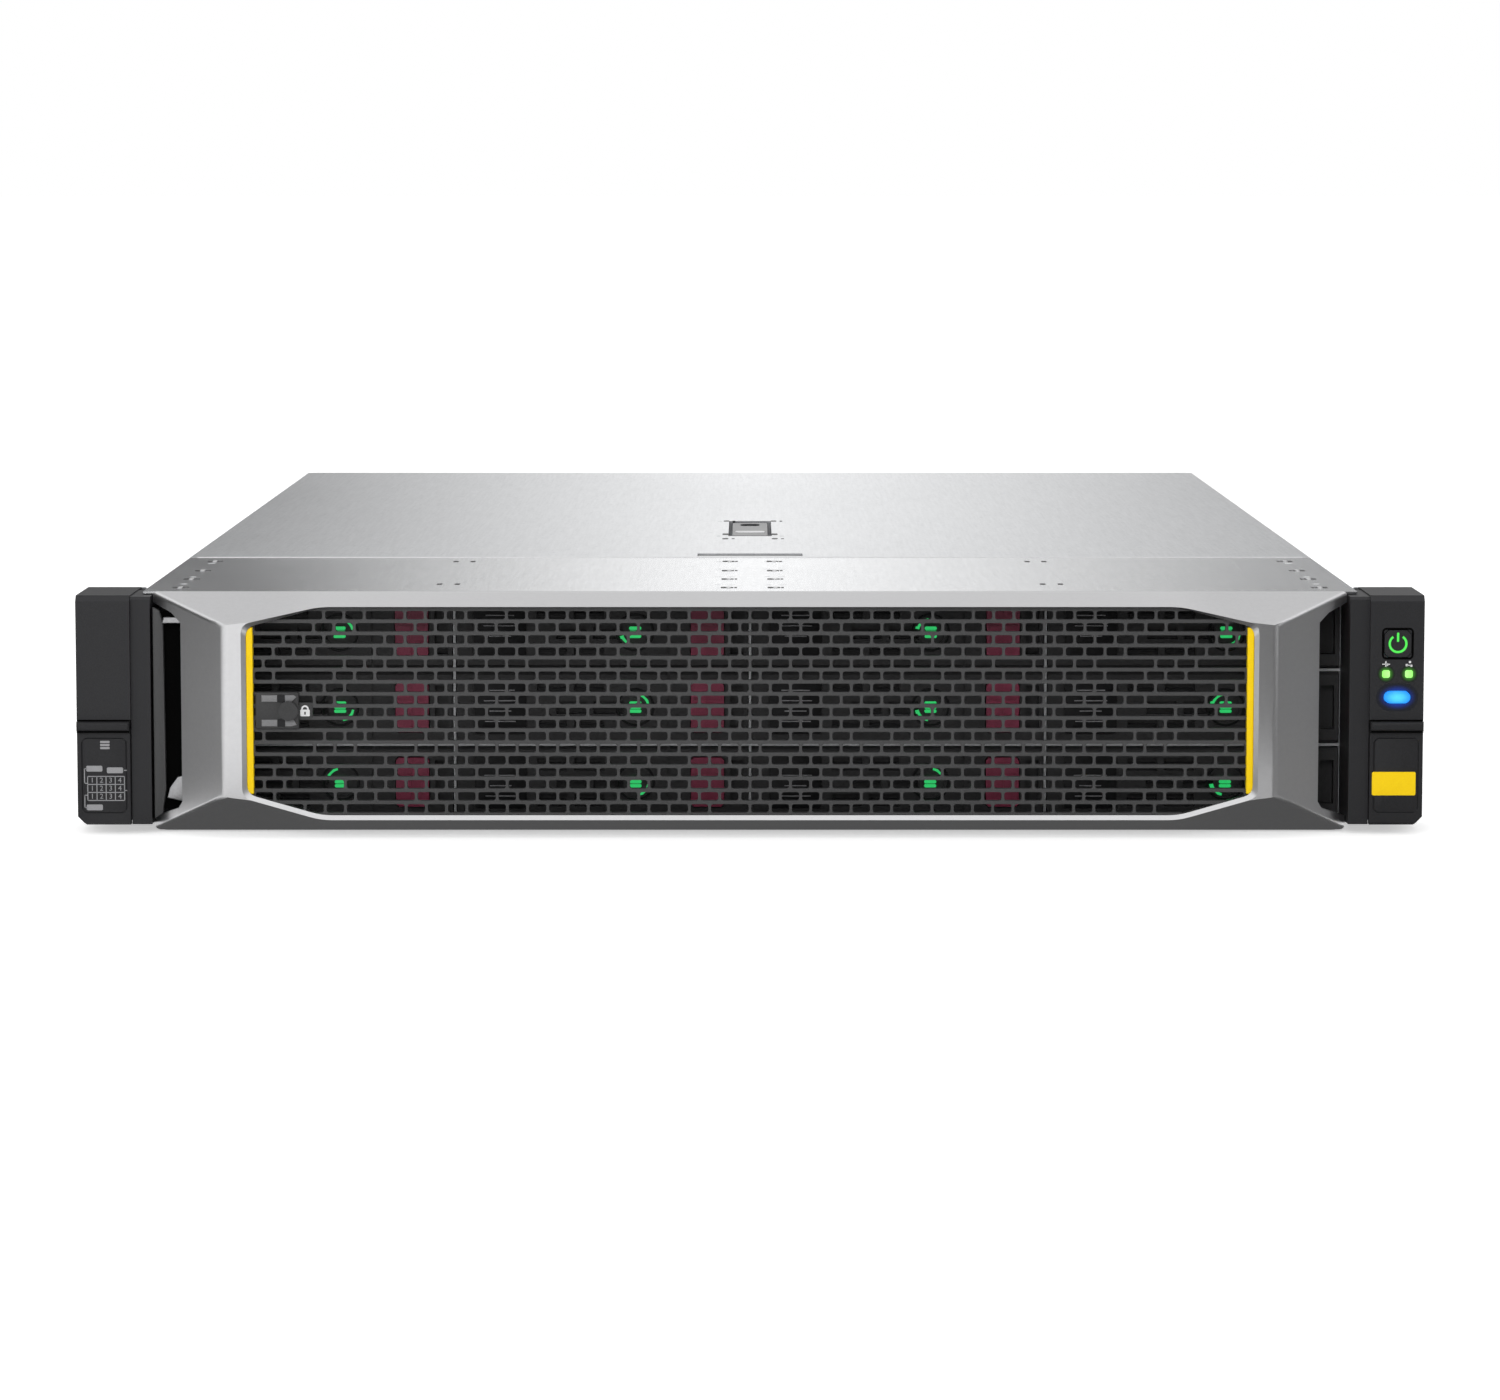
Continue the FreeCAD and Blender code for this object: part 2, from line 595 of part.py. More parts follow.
def drive_release(column, row):
    # Coloured push button of a carrier, with a cross of finger grooves.
    x, z = drive_middle(column, row)
    right = x + BAY_PITCH_X / 2 - RELEASE_MARGIN
    left = right - RELEASE_WIDTH
    button = release_block(column, row, 0, RELEASE_DEPTH - RELEASE_PROUD)
    front = BAY_FRONT - RELEASE_PROUD
    middle = (left + right) / 2
    reach = RELEASE_HEIGHT / 2 - 1
    grooves = [box(middle - 0.4, middle + 0.4, front - 1, front + 0.5, z - reach, z + reach)]
    for dz in (-3.0, 3.0):
        grooves.append(box(left + 1, right - 1, front - 1, front + 0.5, z + dz - 0.4, z + dz + 0.4))
    return button.cut(grooves)


def rack_flange():
    # Steel angle on the right wall: rack face with its screw slot, and a riveted leg.
    outer = CHASSIS_HALF
    back = FLANGE_FRONT + FLANGE_THICK
    outline = cut_corners(outer, RACK_WIDTH / 2, 1.0, CHASSIS_HEIGHT - 0.8, 2.0)
    face = prism_y(outline, FLANGE_FRONT, back)
    low = 5.0
    high = CHASSIS_HEIGHT - 6.4
    end = back + FLANGE_LEG
    leg_profile = [
        (back, low), (end - 12, low), (end, low + 15), (end, high - 14), (end - 12, high), (back, high)
    ]
    leg = prism_x(leg_profile, outer, outer + FLANGE_THICK)
    angle = join([face, leg])
    holes = [rod_y(RACK_HOLE_RADIUS, RACK_HOLE_SPACING / 2, RACK_SCREW_Z, FLANGE_FRONT - 1, back + 1)]
    middle = (low + high) / 2
    for y, z in ((back + 12, low + 11), (end - 10, middle), (back + 12, high - 10)):
        holes.append(prism_x(polygon(1.8, y, z, 6), outer + 1, outer + FLANGE_THICK + 1))
    return angle.cut(holes)


def rack_flanges():
    right = rack_flange()
    return Part.makeCompound([right, mirror_x(right)])


def ear_body():
    # Plastic box of the right ear, open behind, with the lever bay below and a set-back strip.
    edge = RACK_WIDTH / 2
    bay_top = LEVER_TOP + 0.6
    cut = 2.0
    back = FLANGE_FRONT
    upper_profile = [
        (0, bay_top), (back, bay_top), (back, EAR_HIGH), (cut, EAR_HIGH), (0, EAR_HIGH - cut)
    ]
    upper = prism_x(upper_profile, EAR_STEP, edge)
    lower = box(EAR_STEP, edge, LEVER_BAY_DEPTH, FLANGE_FRONT, EAR_LOW, bay_top)
    corner = ear_corner()
    lower = lower.cut(prism_y(corner, LEVER_BAY_DEPTH - 1, FLANGE_FRONT + 1))
    strip_front = EAR_STRIP_SETBACK
    strip_back = BAY_FRONT - SLIDE_GAP
    strip_top = EAR_HIGH - 0.6
    strip_profile = [
        (strip_front, EAR_LOW), (strip_back, EAR_LOW), (strip_back, strip_top),
        (strip_front + 1, strip_top), (strip_front, strip_top - 1)
    ]
    strip = prism_x(strip_profile, EAR_INNER, EAR_STEP)
    body = join([upper, lower, strip])
    wall = EAR_WALL
    hollow_upper = box(
        EAR_STEP + wall, edge - wall, EAR_FRONT_WALL, FLANGE_FRONT + 1, bay_top + wall, EAR_HIGH - wall
    )
    hollow_lower = box(
        EAR_STEP + wall, edge - wall, LEVER_BAY_DEPTH - 1, FLANGE_FRONT + 1,
        EAR_LOW + EAR_CORNER_CUT + wall, bay_top - wall
    )
    body = body.cut([hollow_upper, hollow_lower])
    middle = (EAR_STEP + edge) / 2
    lugs = []
    for side in (-1, 1):
        near = middle + side * LEVER_BARREL_HALF + side * SLIDE_GAP
        far = near + side * 2.5
        lug = prism_x(
            [(LEVER_PIN_Y - 2.2, LEVER_PIN_Z - 2.2), (LEVER_BAY_DEPTH + 0.5, EAR_LOW + 1),
             (LEVER_BAY_DEPTH + 0.5, LEVER_PIN_Z + 2.2), (LEVER_PIN_Y - 2.2, LEVER_PIN_Z + 2.2)],
            min(near, far), max(near, far)
        )
        lugs.append(lug)
    reach = LEVER_BARREL_HALF + SLIDE_GAP + 1
    pin = rod_x(LEVER_PIN_RADIUS, LEVER_PIN_Y, LEVER_PIN_Z, middle - reach, middle + reach)
    return join([body, pin] + lugs)


def ear_corner():
    # Outline that trims the lower outer corner of ear and lever alike.
    edge = RACK_WIDTH / 2
    below = EAR_LOW - 1
    return [(edge - EAR_CORNER_CUT, below), (edge + 1, below), (edge + 1, EAR_LOW + EAR_CORNER_CUT)]


def ear_right():
    body = ear_body()
    half = POWER_SIZE / 2 + BUTTON_CLEAR
    outline = cut_corners(BUTTON_X - half, BUTTON_X + half, POWER_Z - half, POWER_Z + half, 1.8)
    power = prism_y(outline, -1, EAR_FRONT_WALL + 1)
    grow = BUTTON_CLEAR
    ident = pill_y(
        BUTTON_X - IDENT_WIDTH / 2 - grow, BUTTON_X + IDENT_WIDTH / 2 + grow,
        IDENT_Z - IDENT_HEIGHT / 2 - grow, IDENT_Z + IDENT_HEIGHT / 2 + grow, -1, EAR_FRONT_WALL + 1
    )
    cuts = [power, ident]
    for light in light_blocks():
        cuts.append(light)
    return body.cut(cuts)


def ear_left():
    return mirror_x(ear_body())


def light_blocks():
    half = LIGHT_SIZE / 2
    blocks = []
    for side in (-1, 1):
        x = BUTTON_X + side * LIGHT_SPACING / 2
        blocks.append(box(x - half, x + half, 0, EAR_FRONT_WALL, LIGHT_Z - half, LIGHT_Z + half))
    return blocks


def ear_lights():
    return Part.makeCompound(light_blocks())


def power_button():
    half = POWER_SIZE / 2
    outline = cut_corners(BUTTON_X - half, BUTTON_X + half, POWER_Z - half, POWER_Z + half, 1.5)
    button = prism_y(outline, -0.5, BUTTON_DEPTH - 0.5)
    dish = prism_y(polygon(3.4, BUTTON_X, POWER_Z, 12), -1, -0.2)
    return button.cut(dish)


def ident_button():
    return pill_y(
        BUTTON_X - IDENT_WIDTH / 2, BUTTON_X + IDENT_WIDTH / 2,
        IDENT_Z - IDENT_HEIGHT / 2, IDENT_Z + IDENT_HEIGHT / 2, -0.5, BUTTON_DEPTH - 0.5
    )


def ear_lever():
    # Quick-release lever of the right ear: panel, finger lip and hinge barrel.
    edge = RACK_WIDTH / 2
    lip_low = LEVER_TOP - LIP_HEIGHT
    back = LEVER_THICK
    profile = [
        (0.8, EAR_LOW), (back, EAR_LOW), (back, LEVER_TOP), (-LIP_PROUD + 0.6, LEVER_TOP),
        (-LIP_PROUD, LEVER_TOP - 0.6), (-LIP_PROUD, lip_low), (0, lip_low - 1), (0, EAR_LOW + 0.8),
    ]
    panel = prism_x(profile, EAR_STEP + 0.2, edge)
    recess_low = EAR_LOW + 4.3
    recess_high = lip_low - 2.6
    recess = prism_y(cut_corners(EAR_STEP + 1.6, edge - 1.6, recess_low, recess_high, 1.5), -1, 0.5)
    corner = prism_y(ear_corner(), -3, 8)
    middle = (EAR_STEP + edge) / 2
    barrel_left = middle - LEVER_BARREL_HALF
    barrel_right = middle + LEVER_BARREL_HALF
    barrel = rod_x(LEVER_PIN_RADIUS + 1.4, LEVER_PIN_Y, LEVER_PIN_Z, barrel_left, barrel_right)
    web = box(barrel_left, barrel_right, back - 0.5, LEVER_PIN_Y, LEVER_PIN_Z - 2, LEVER_PIN_Z + 2)
    bore = rod_x(LEVER_PIN_RADIUS + RUNNING_FIT, LEVER_PIN_Y, LEVER_PIN_Z, middle - 12, middle + 12)
    return join([panel.cut([recess, corner]), barrel, web]).cut(bore)


def solid_from_faces(corner_lists):
    faces = []
    for corners in corner_lists:
        faces.append(Part.Face(Part.makePolygon(corners + corners[:1])))
    return Part.Solid(Part.Shell(faces))


def hip_block(wall, back, front):
    # Rectangle at the back that tapers in flat facets to a twelve-sided front, drawn in by the wall.
    half = BEZEL_HALF - wall
    low = BEZEL_LOW + wall
    high = BEZEL_HIGH - wall
    rim_half = RIM_HALF - wall
    rim_inner = RIM_INNER_HALF - wall
    rim_low = RIM_LOW + wall
    rim_high = RIM_HIGH - wall
    side_low = RIM_SIDE_LOW + wall
    side_high = RIM_SIDE_HIGH - wall
    flat_half = RIM_FLAT_HALF
    bottom_left = V(-half, back, low)
    bottom_right = V(half, back, low)
    top_left = V(-half, back, high)
    top_right = V(half, back, high)
    front_points = [
        (-flat_half, rim_low), (flat_half, rim_low), (rim_inner, side_low), (rim_half, side_low),
        (rim_half, side_high), (rim_inner, side_high), (flat_half, rim_high), (-flat_half, rim_high),
        (-rim_inner, side_high), (-rim_half, side_high), (-rim_half, side_low), (-rim_inner, side_low),
    ]
    rim = [V(x, front, z) for x, z in front_points]
    return solid_from_faces([
        [bottom_left, bottom_right, top_right, top_left],
        rim,
        [bottom_left, bottom_right, rim[1], rim[0]],
        [bottom_right, rim[2], rim[1]],
        [bottom_right, rim[3], rim[2]],
        [bottom_right, top_right, rim[4], rim[3]],
        [top_right, rim[5], rim[4]],
        [top_right, rim[6], rim[5]],
        [top_right, top_left, rim[7], rim[6]],
        [top_left, rim[8], rim[7]],
        [top_left, rim[9], rim[8]],
        [top_left, bottom_left, rim[10], rim[9]],
        [bottom_left, rim[11], rim[10]],
        [bottom_left, rim[0], rim[11]],
    ])


def window_outline(shrink):
    # Eight-sided window outline, drawn in by the given amount.
    half = WINDOW_HALF - shrink
    low = WINDOW_LOW + shrink
    high = WINDOW_HIGH - shrink
    flat = WINDOW_FLAT_HALF
    return [
        (-flat, low), (flat, low), (half, WINDOW_SIDE_LOW), (half, WINDOW_SIDE_HIGH),
        (flat, high), (-flat, high), (-half, WINDOW_SIDE_HIGH), (-half, WINDOW_SIDE_LOW),
    ]


def wing_notch():
    # Opening between the right wing and the ear, with sloped ends.
    return [
        (WING_EDGE_HALF, WING_NOTCH_LOW + 6), (WING_EDGE_HALF + 1.5, WING_NOTCH_LOW + 3.2),
        (BEZEL_HALF + 1, WING_NOTCH_LOW - 1.4), (BEZEL_HALF + 1, WING_NOTCH_HIGH + 2.3),
        (WING_EDGE_HALF + 3.5, WING_NOTCH_HIGH - 1.9), (WING_EDGE_HALF, WING_NOTCH_HIGH - 5),
    ]


def bezel_frame():
    # Silver hoop with inclined bars and wings, hollow behind, with hook arms to the ears.
    block = hip_block(0, BEZEL_BACK, BEZEL_FRONT)
    hollow = hip_block(BEZEL_WALL, BEZEL_BACK + 0.5, BEZEL_FRONT + BEZEL_WALL)
    collar = prism_y(window_outline(-1.6), BEZEL_FRONT + 1, GRILLE_FRONT + GRILLE_THICK)
    frame = join([block.cut(hollow), collar.common(block)])
    window = prism_y(window_outline(0), BEZEL_FRONT - 1, BEZEL_BACK + 2)
    bevel_ends = []
    for grow, y in ((WINDOW_BEVEL, BEZEL_FRONT), (0, BEZEL_FRONT + WINDOW_BEVEL_DEPTH)):
        outline = window_outline(-grow)
        bevel_ends.append(Part.makePolygon([V(x, y, z) for x, z in outline + outline[:1]]))
    bevel = Part.makeLoft(bevel_ends, True, True)
    notch = prism_y(wing_notch(), BEZEL_FRONT - 1, BEZEL_BACK + 2)
    frame = frame.cut([window, bevel, notch, mirror_x(notch)])
    arms = []
    low_arm = (WING_NOTCH_LOW + 6.1, WING_NOTCH_LOW + 13.6)
    high_arm = (WING_NOTCH_HIGH - 7.1, WING_NOTCH_HIGH - 4.1)
    for low, high in (low_arm, high_arm):
        reach = EAR_INNER - 2 * SLIDE_GAP
        root = WING_EDGE_HALF - 5
        arm_back = BEZEL_BACK - 1.3
        arm_profile = [
            (root, -1.5), (root + 4.7, 1.6), (reach, arm_back - 3), (reach, arm_back), (root, arm_back)
        ]
        arm = prism_z(arm_profile, low, high)
        arms += [arm, mirror_x(arm)]
    skirt_half = BEZEL_HALF - 6
    skirt_low = BEZEL_HIGH - 3.4
    skirt_top = box(-skirt_half, skirt_half, BEZEL_BACK - 0.5, BEZEL_BACK + 1.5, skirt_low, skirt_low + 1.4)
    return join([frame, skirt_top] + arms)


def grille_cells():
    # Left, right, low, high of every hole: bricks laid with a half step between rows.
    inner_low = WINDOW_LOW + GRILLE_WEB
    pitch_z = (WINDOW_HIGH - WINDOW_LOW - GRILLE_WEB) / GRILLE_ROWS
    pitch_x = 2 * (WINDOW_HALF - ACCENT_WIDTH - GRILLE_WEB) / GRILLE_COLUMNS
    left = -WINDOW_HALF + ACCENT_WIDTH + GRILLE_WEB
    right = -left
    cells = []
    for row in range(GRILLE_ROWS):
        low = inner_low + row * pitch_z
        high = low + pitch_z - GRILLE_WEB
        x = left - (row % 2) * pitch_x / 2
        while x < right - 1:
            inset = row_inset((low + high) / 2)
            cell_left = max(x, left + inset)
            cell_right = min(x + pitch_x, right + GRILLE_WEB - inset) - GRILLE_WEB
            if cell_right - cell_left > GRILLE_WEB:
                cells.append((cell_left, cell_right, low, high))
            x += pitch_x
    return cells


def row_inset(z):
    # How far the cut corner of the window reaches in at a height.
    reach = WINDOW_HALF - WINDOW_FLAT_HALF
    if z > WINDOW_SIDE_HIGH - 2:
        return reach * min(1, (z - WINDOW_SIDE_HIGH + 4) / (WINDOW_HIGH - WINDOW_SIDE_HIGH))
    if z < WINDOW_SIDE_LOW + 2:
        return reach * min(1, (WINDOW_SIDE_LOW + 4 - z) / (WINDOW_SIDE_LOW - WINDOW_LOW))
    return 0


def lock_hole_blocks(cells):
    # Holes that would open under the lock plate are left out.
    kept = []
    for cell_left, cell_right, low, high in cells:
        over_x = cell_left < LOCK_PLATE_RIGHT + 1 and cell_right > LOCK_PLATE_LEFT - 1
        over_z = low < LOCK_Z + LOCK_PLATE_HALF_HEIGHT and high > LOCK_Z - LOCK_PLATE_HALF_HEIGHT
        if not (over_x and over_z):
            kept.append((cell_left, cell_right, low, high))
        elif cell_right - LOCK_PLATE_RIGHT > 4:
            kept.append((LOCK_PLATE_RIGHT + 1, cell_right, low, high))
    return kept


def bezel_grille():
    # Brick grille with the lock housing, moulded in one dark piece.
    y0 = GRILLE_FRONT
    y1 = GRILLE_FRONT + GRILLE_THICK
    plate = prism_y(window_outline(0), y0, y1)
    lock = box(
        LOCK_PLATE_LEFT, LOCK_PLATE_RIGHT, y0 - 1.2, y1 + LOCK_DEPTH,
        LOCK_Z - LOCK_PLATE_HALF_HEIGHT, LOCK_Z + LOCK_PLATE_HALF_HEIGHT
    )
    plate = join([plate, lock])
    cuts = []
    for cell_left, cell_right, low, high in lock_hole_blocks(grille_cells()):
        cuts.append(box(cell_left, cell_right, y0 - 2, y1 + 1, low, high))
    for side in (-1, 1):
        edges = [side * WINDOW_HALF, side * (WINDOW_HALF - ACCENT_WIDTH)]
        cuts.append(box(min(edges), max(edges), y0 - 2, y1 + 1, WINDOW_SIDE_LOW, WINDOW_SIDE_HIGH))
    cuts.append(rod_y(KEY_RADIUS + RUNNING_FIT, LOCK_X, LOCK_Z, y0 - 2, y1 + LOCK_DEPTH + 1))
    return plate.cut(cuts)


def bezel_accents():
    # Coloured strips along both short sides of the window.
    strips = []
    for side in (-1, 1):
        edges = [side * WINDOW_HALF, side * (WINDOW_HALF - ACCENT_WIDTH)]
        back = GRILLE_FRONT + GRILLE_THICK
        front = GRILLE_FRONT - 1.8
        strips.append(box(min(edges), max(edges), front, back, WINDOW_SIDE_LOW, WINDOW_SIDE_HIGH))
    return Part.makeCompound(strips)


def bezel_key():
    # Key barrel that turns in the lock housing, with a slot and a locking tongue behind.
    y0 = GRILLE_FRONT - 1.2
    back = GRILLE_FRONT + GRILLE_THICK + LOCK_DEPTH
    barrel = rod_y(KEY_RADIUS, LOCK_X, LOCK_Z, y0, back + 2.3)
    slot = box(LOCK_X - 2.4, LOCK_X + 2.4, y0 - 1, y0 + 4, LOCK_Z - 0.6, LOCK_Z + 0.6)
    tip = LOCK_X - 9
    tongue_outline = [
        (tip, LOCK_Z - 1.6), (LOCK_X, LOCK_Z - KEY_RADIUS),
        (LOCK_X, LOCK_Z + KEY_RADIUS), (tip, LOCK_Z + 1.6)
    ]
    tongue = prism_y(tongue_outline, back + SLIDE_GAP, back + SLIDE_GAP + 2)
    return join([barrel.cut(slot), tongue])


def fan_x(index):
    return (index - (FAN_COUNT - 1) / 2) * FAN_PITCH


def fan_cage():
    # Row of fan housings: round ducts, a motor seat on three struts and a shaft in each.
    y0 = FAN_FRONT
    y1 = FAN_FRONT + FAN_DEPTH
    half = FAN_COUNT * FAN_PITCH / 2
    outline = cut_corners(-half, half, SHEET, FAN_TOP, 3.0)
    frame = prism_y(outline, y0, y1)
    ducts = []
    gaps = []
    inside = []
    for index in range(FAN_COUNT):
        x = fan_x(index)
        ducts.append(rod_y(FAN_HOLE_RADIUS, x, FAN_MID_Z, y0 - 1, y1 + 1))
        seat = prism_y(polygon(FAN_HUB_RADIUS - 1, x, FAN_MID_Z, 12), y1 - 6, y1)
        shaft = rod_y(FAN_SHAFT_RADIUS, x, FAN_MID_Z, y0 + 7, y1 - 3)
        arms = []
        for turn in (90, 210, 330):
            arm = box(x + 10, x + FAN_HOLE_RADIUS + 1, y1 - 5, y1, FAN_MID_Z - 1.5, FAN_MID_Z + 1.5)
            arm.rotate(V(x, 0, FAN_MID_Z), V(0, 1, 0), turn)
            arms.append(arm)
        inside.append(join([seat, shaft] + arms))
        if index:
            edge = x - FAN_PITCH / 2
            gaps.append(box(edge - 0.6, edge + 0.6, y0 - 1, y0 + 4, SHEET + 3, FAN_TOP + 1))
    frame = frame.cut(ducts + gaps)
    return join([frame] + inside)


def fan_rotor(index):
    # Faceted hub with pitched blades that clear the duct.
    x = fan_x(index)
    y0 = FAN_FRONT + 9
    y1 = y0 + FAN_ROTOR_LENGTH
    hub = prism_y(polygon(FAN_HUB_RADIUS, x, FAN_MID_Z, 2 * FAN_BLADES), y0, y1)
    blades = []
    for blade_index in range(FAN_BLADES):
        tip = x + FAN_TIP_RADIUS - 2
        blade = box(x + FAN_HUB_RADIUS - 2, tip, -9.5, 9.5, FAN_MID_Z - 0.7, FAN_MID_Z + 0.7)
        blade.rotate(V(x, 0, FAN_MID_Z), V(1, 0, 0), 38)
        blade.translate(V(0, (y0 + y1) / 2, 0))
        blade.rotate(V(x, 0, FAN_MID_Z), V(0, 1, 0), blade_index * 360 / FAN_BLADES)
        blades.append(blade)
    bore = rod_y(FAN_SHAFT_RADIUS + RUNNING_FIT, x, FAN_MID_Z, y0 - 1, y1 + 1)
    return join([hub] + blades).cut(bore)


def system_board():
    # Circuit board cut round the power supply bay, on round stand-offs.
    bay_edge = PSU_BAY_END + SHEET + 2
    half = BOARD_HALF
    outline = [
        (-half, BOARD_FRONT), (half, BOARD_FRONT), (half, BOARD_REAR), (bay_edge, BOARD_REAR),
        (bay_edge, BOARD_BAY_FRONT), (-half, BOARD_BAY_FRONT),
    ]
    board = prism_z(outline, BOARD_LOW, BOARD_TOP)
    post_inset = 12.0
    post_half = half - post_inset
    places = []
    for x in (-post_half, 0, post_half):
        places.append((x, BOARD_FRONT + post_inset))
        places.append((x, BOARD_BAY_FRONT - post_inset))
    for x in (bay_edge + post_inset, post_half):
        places.append((x, BOARD_REAR - PORTS_DEPTH - post_inset))
    posts = []
    for x, y in places:
        posts.append(peg_z(3.5, x, y, SHEET, BOARD_LOW + 0.5))
    chips = []
    for dx, dy, size, height in ((20, 24, 34, 4), (70, 8, 22, 3), (24, 84, 18, 3)):
        x = bay_edge + dx
        y = BOARD_BAY_FRONT + dy
        chips.append(box(x, x + size, y, y + size, BOARD_TOP - 0.2, BOARD_TOP + height))
    return join([board] + posts + chips)


def cpu_heatsinks():
    # Two finned coolers, each a comb outline pushed along the air path.
    sinks = []
    low = BOARD_TOP
    floor = BOARD_TOP + HEATSINK_BASE
    for middle in HEATSINK_X:
        left = middle - HEATSINK_WIDTH / 2
        pitch = (HEATSINK_WIDTH - FIN_THICK) / (FIN_COUNT - 1)
        outline = [(left, low), (left + HEATSINK_WIDTH, low)]
        for i in reversed(range(FIN_COUNT)):
            x = left + i * pitch
            outline.append((x + FIN_THICK, HEATSINK_TOP))
            outline.append((x, HEATSINK_TOP))
            if i:
                outline.append((x, floor))
                outline.append((x - pitch + FIN_THICK, floor))
        sinks.append(prism_y(outline, HEATSINK_FRONT, HEATSINK_FRONT + HEATSINK_LENGTH))
    return Part.makeCompound(sinks)


def memory_modules():
    # Sockets with upright modules in banks of three beside each cooler.
    low = BOARD_TOP
    socket_top = low + SOCKET_HEIGHT
    front = MODULE_FRONT
    back = MODULE_FRONT + MODULE_LENGTH
    modules = []
    for middle in HEATSINK_X:
        for side in (-1, 1):
            for i in range(3):
                x = middle + side * (HEATSINK_WIDTH / 2 + MODULE_PITCH + 1 + i * MODULE_PITCH)
                socket = box(x - 3, x + 3, front - SOCKET_EXTRA, back + SOCKET_EXTRA, low, socket_top)
                module = box(x - 1.6, x + 1.6, front, back, socket_top - 1, socket_top - 1 + MODULE_HEIGHT)
                modules.append(join([socket, module]))
    return Part.makeCompound(modules)


def air_baffle():
    # Shaped plastic cover over the coolers, on two legs, with an opening for cables.
    front = BOARD_FRONT + 6
    step = MODULE_FRONT - SOCKET_EXTRA
    fall = MODULE_FRONT + MODULE_LENGTH + SOCKET_EXTRA
    back = fall + 28
    low = HEATSINK_TOP + BAFFLE_RISE
    high = low + BAFFLE_STEP
    tail = low - 13
    profile = [
        (front, high), (step - 10, high), (step, low), (fall, low),
        (back, tail), (back, tail + BAFFLE_THICK),
        (fall + 1, low + BAFFLE_THICK), (step + 1, low + BAFFLE_THICK), (step - 9, high + BAFFLE_THICK),
        (front, high + BAFFLE_THICK),
    ]
    roof = prism_x(profile, -BOARD_HALF, BOARD_HALF)
    legs = []
    for side in (-1, 1):
        x = side * (BOARD_HALF - BOARD_SIDE_ROOM)
        legs.append(box(x - 1, x + 1, front + 2, step - 12, BOARD_TOP, high + 1))
        legs.append(box(x - 1, x + 1, fall - 16, fall, BOARD_TOP, low + 1))
    opening = prism_z(cut_corners(-40, 40, fall - 74, fall - 6, 8), tail, high + 4)
    return join([roof] + legs).cut(opening)


def psu_body(index):
    # Hot-swap supply: steel case, inlet, fan vents and a pull handle.
    left = psu_left(index)
    low = PSU_LOW
    rear = REAR_DEPTH
    case_outline = cut_corners(left, left + PSU_WIDTH, low, low + PSU_HEIGHT, 0.8)
    case = prism_y(case_outline, rear - PSU_LENGTH, rear)
    grip = prism_z(
        [(left + 40, rear - 1), (left + 40, rear + 22), (left + 46, rear + PSU_HANDLE_REACH),
         (left + 62, rear + PSU_HANDLE_REACH), (left + 68, rear + 22), (left + 68, rear - 1),
         (left + 64, rear - 1), (left + 64, rear + 20), (left + 60, rear + 23),
         (left + 48, rear + 23), (left + 44, rear + 20), (left + 44, rear - 1)],
        low + PSU_HEIGHT / 2 - 5, low + PSU_HEIGHT / 2 + 5
    )
    edge_plug = box(left + 14, left + 60, rear - PSU_LENGTH - 6, rear - PSU_LENGTH, low + 3, low + 6)
    case = join([case, grip, edge_plug])
    inlet_left, inlet_low = inlet_corner(index)
    inlet = prism_y(
        cut_corners(inlet_left, inlet_left + INLET_WIDTH, inlet_low, inlet_low + INLET_HEIGHT, 3.0),
        rear - INLET_DEPTH, rear + 1
    )
    cuts = [inlet]
    for row in range(6):
        for column in range(4):
            x = left + 35 + column * 9 + (row % 2) * 1.5
            z = low + 3 + row * 6
            vent = box(x, x + 6.5, rear - 3, rear + 1, z, z + 3.6)
            if abs(z + 1.8 - low - PSU_HEIGHT / 2) > 7.5:
                cuts.append(vent)
    case = case.cut(cuts)
    blades = []
    for dx, dz in ((-7, 4), (7, 4), (0, -4)):
        x = inlet_left + INLET_WIDTH / 2 + dx
        z = inlet_low + INLET_HEIGHT / 2 + dz
        blades.append(box(x - 1, x + 1, rear - INLET_DEPTH - 1, rear - 7, z - 2.2, z + 2.2))
    return join([case] + blades)


def inlet_corner(index):
    return psu_left(index) + INLET_MARGIN, PSU_LOW + INLET_MARGIN


def psu_release(index):
    # Coloured tab that is pushed towards the handle to free the supply.
    x0 = psu_left(index) + 6.0
    low = PSU_LOW + PSU_HEIGHT - 13.0
    outline = [(x0, REAR_DEPTH + SLIDE_GAP), (x0 + 20, REAR_DEPTH + SLIDE_GAP), (x0 + 20, REAR_DEPTH + 3),
               (x0 + 5, REAR_DEPTH + 3), (x0 + 3, REAR_DEPTH + 14), (x0, REAR_DEPTH + 14)]
    return prism_z(outline, low, low + 9)


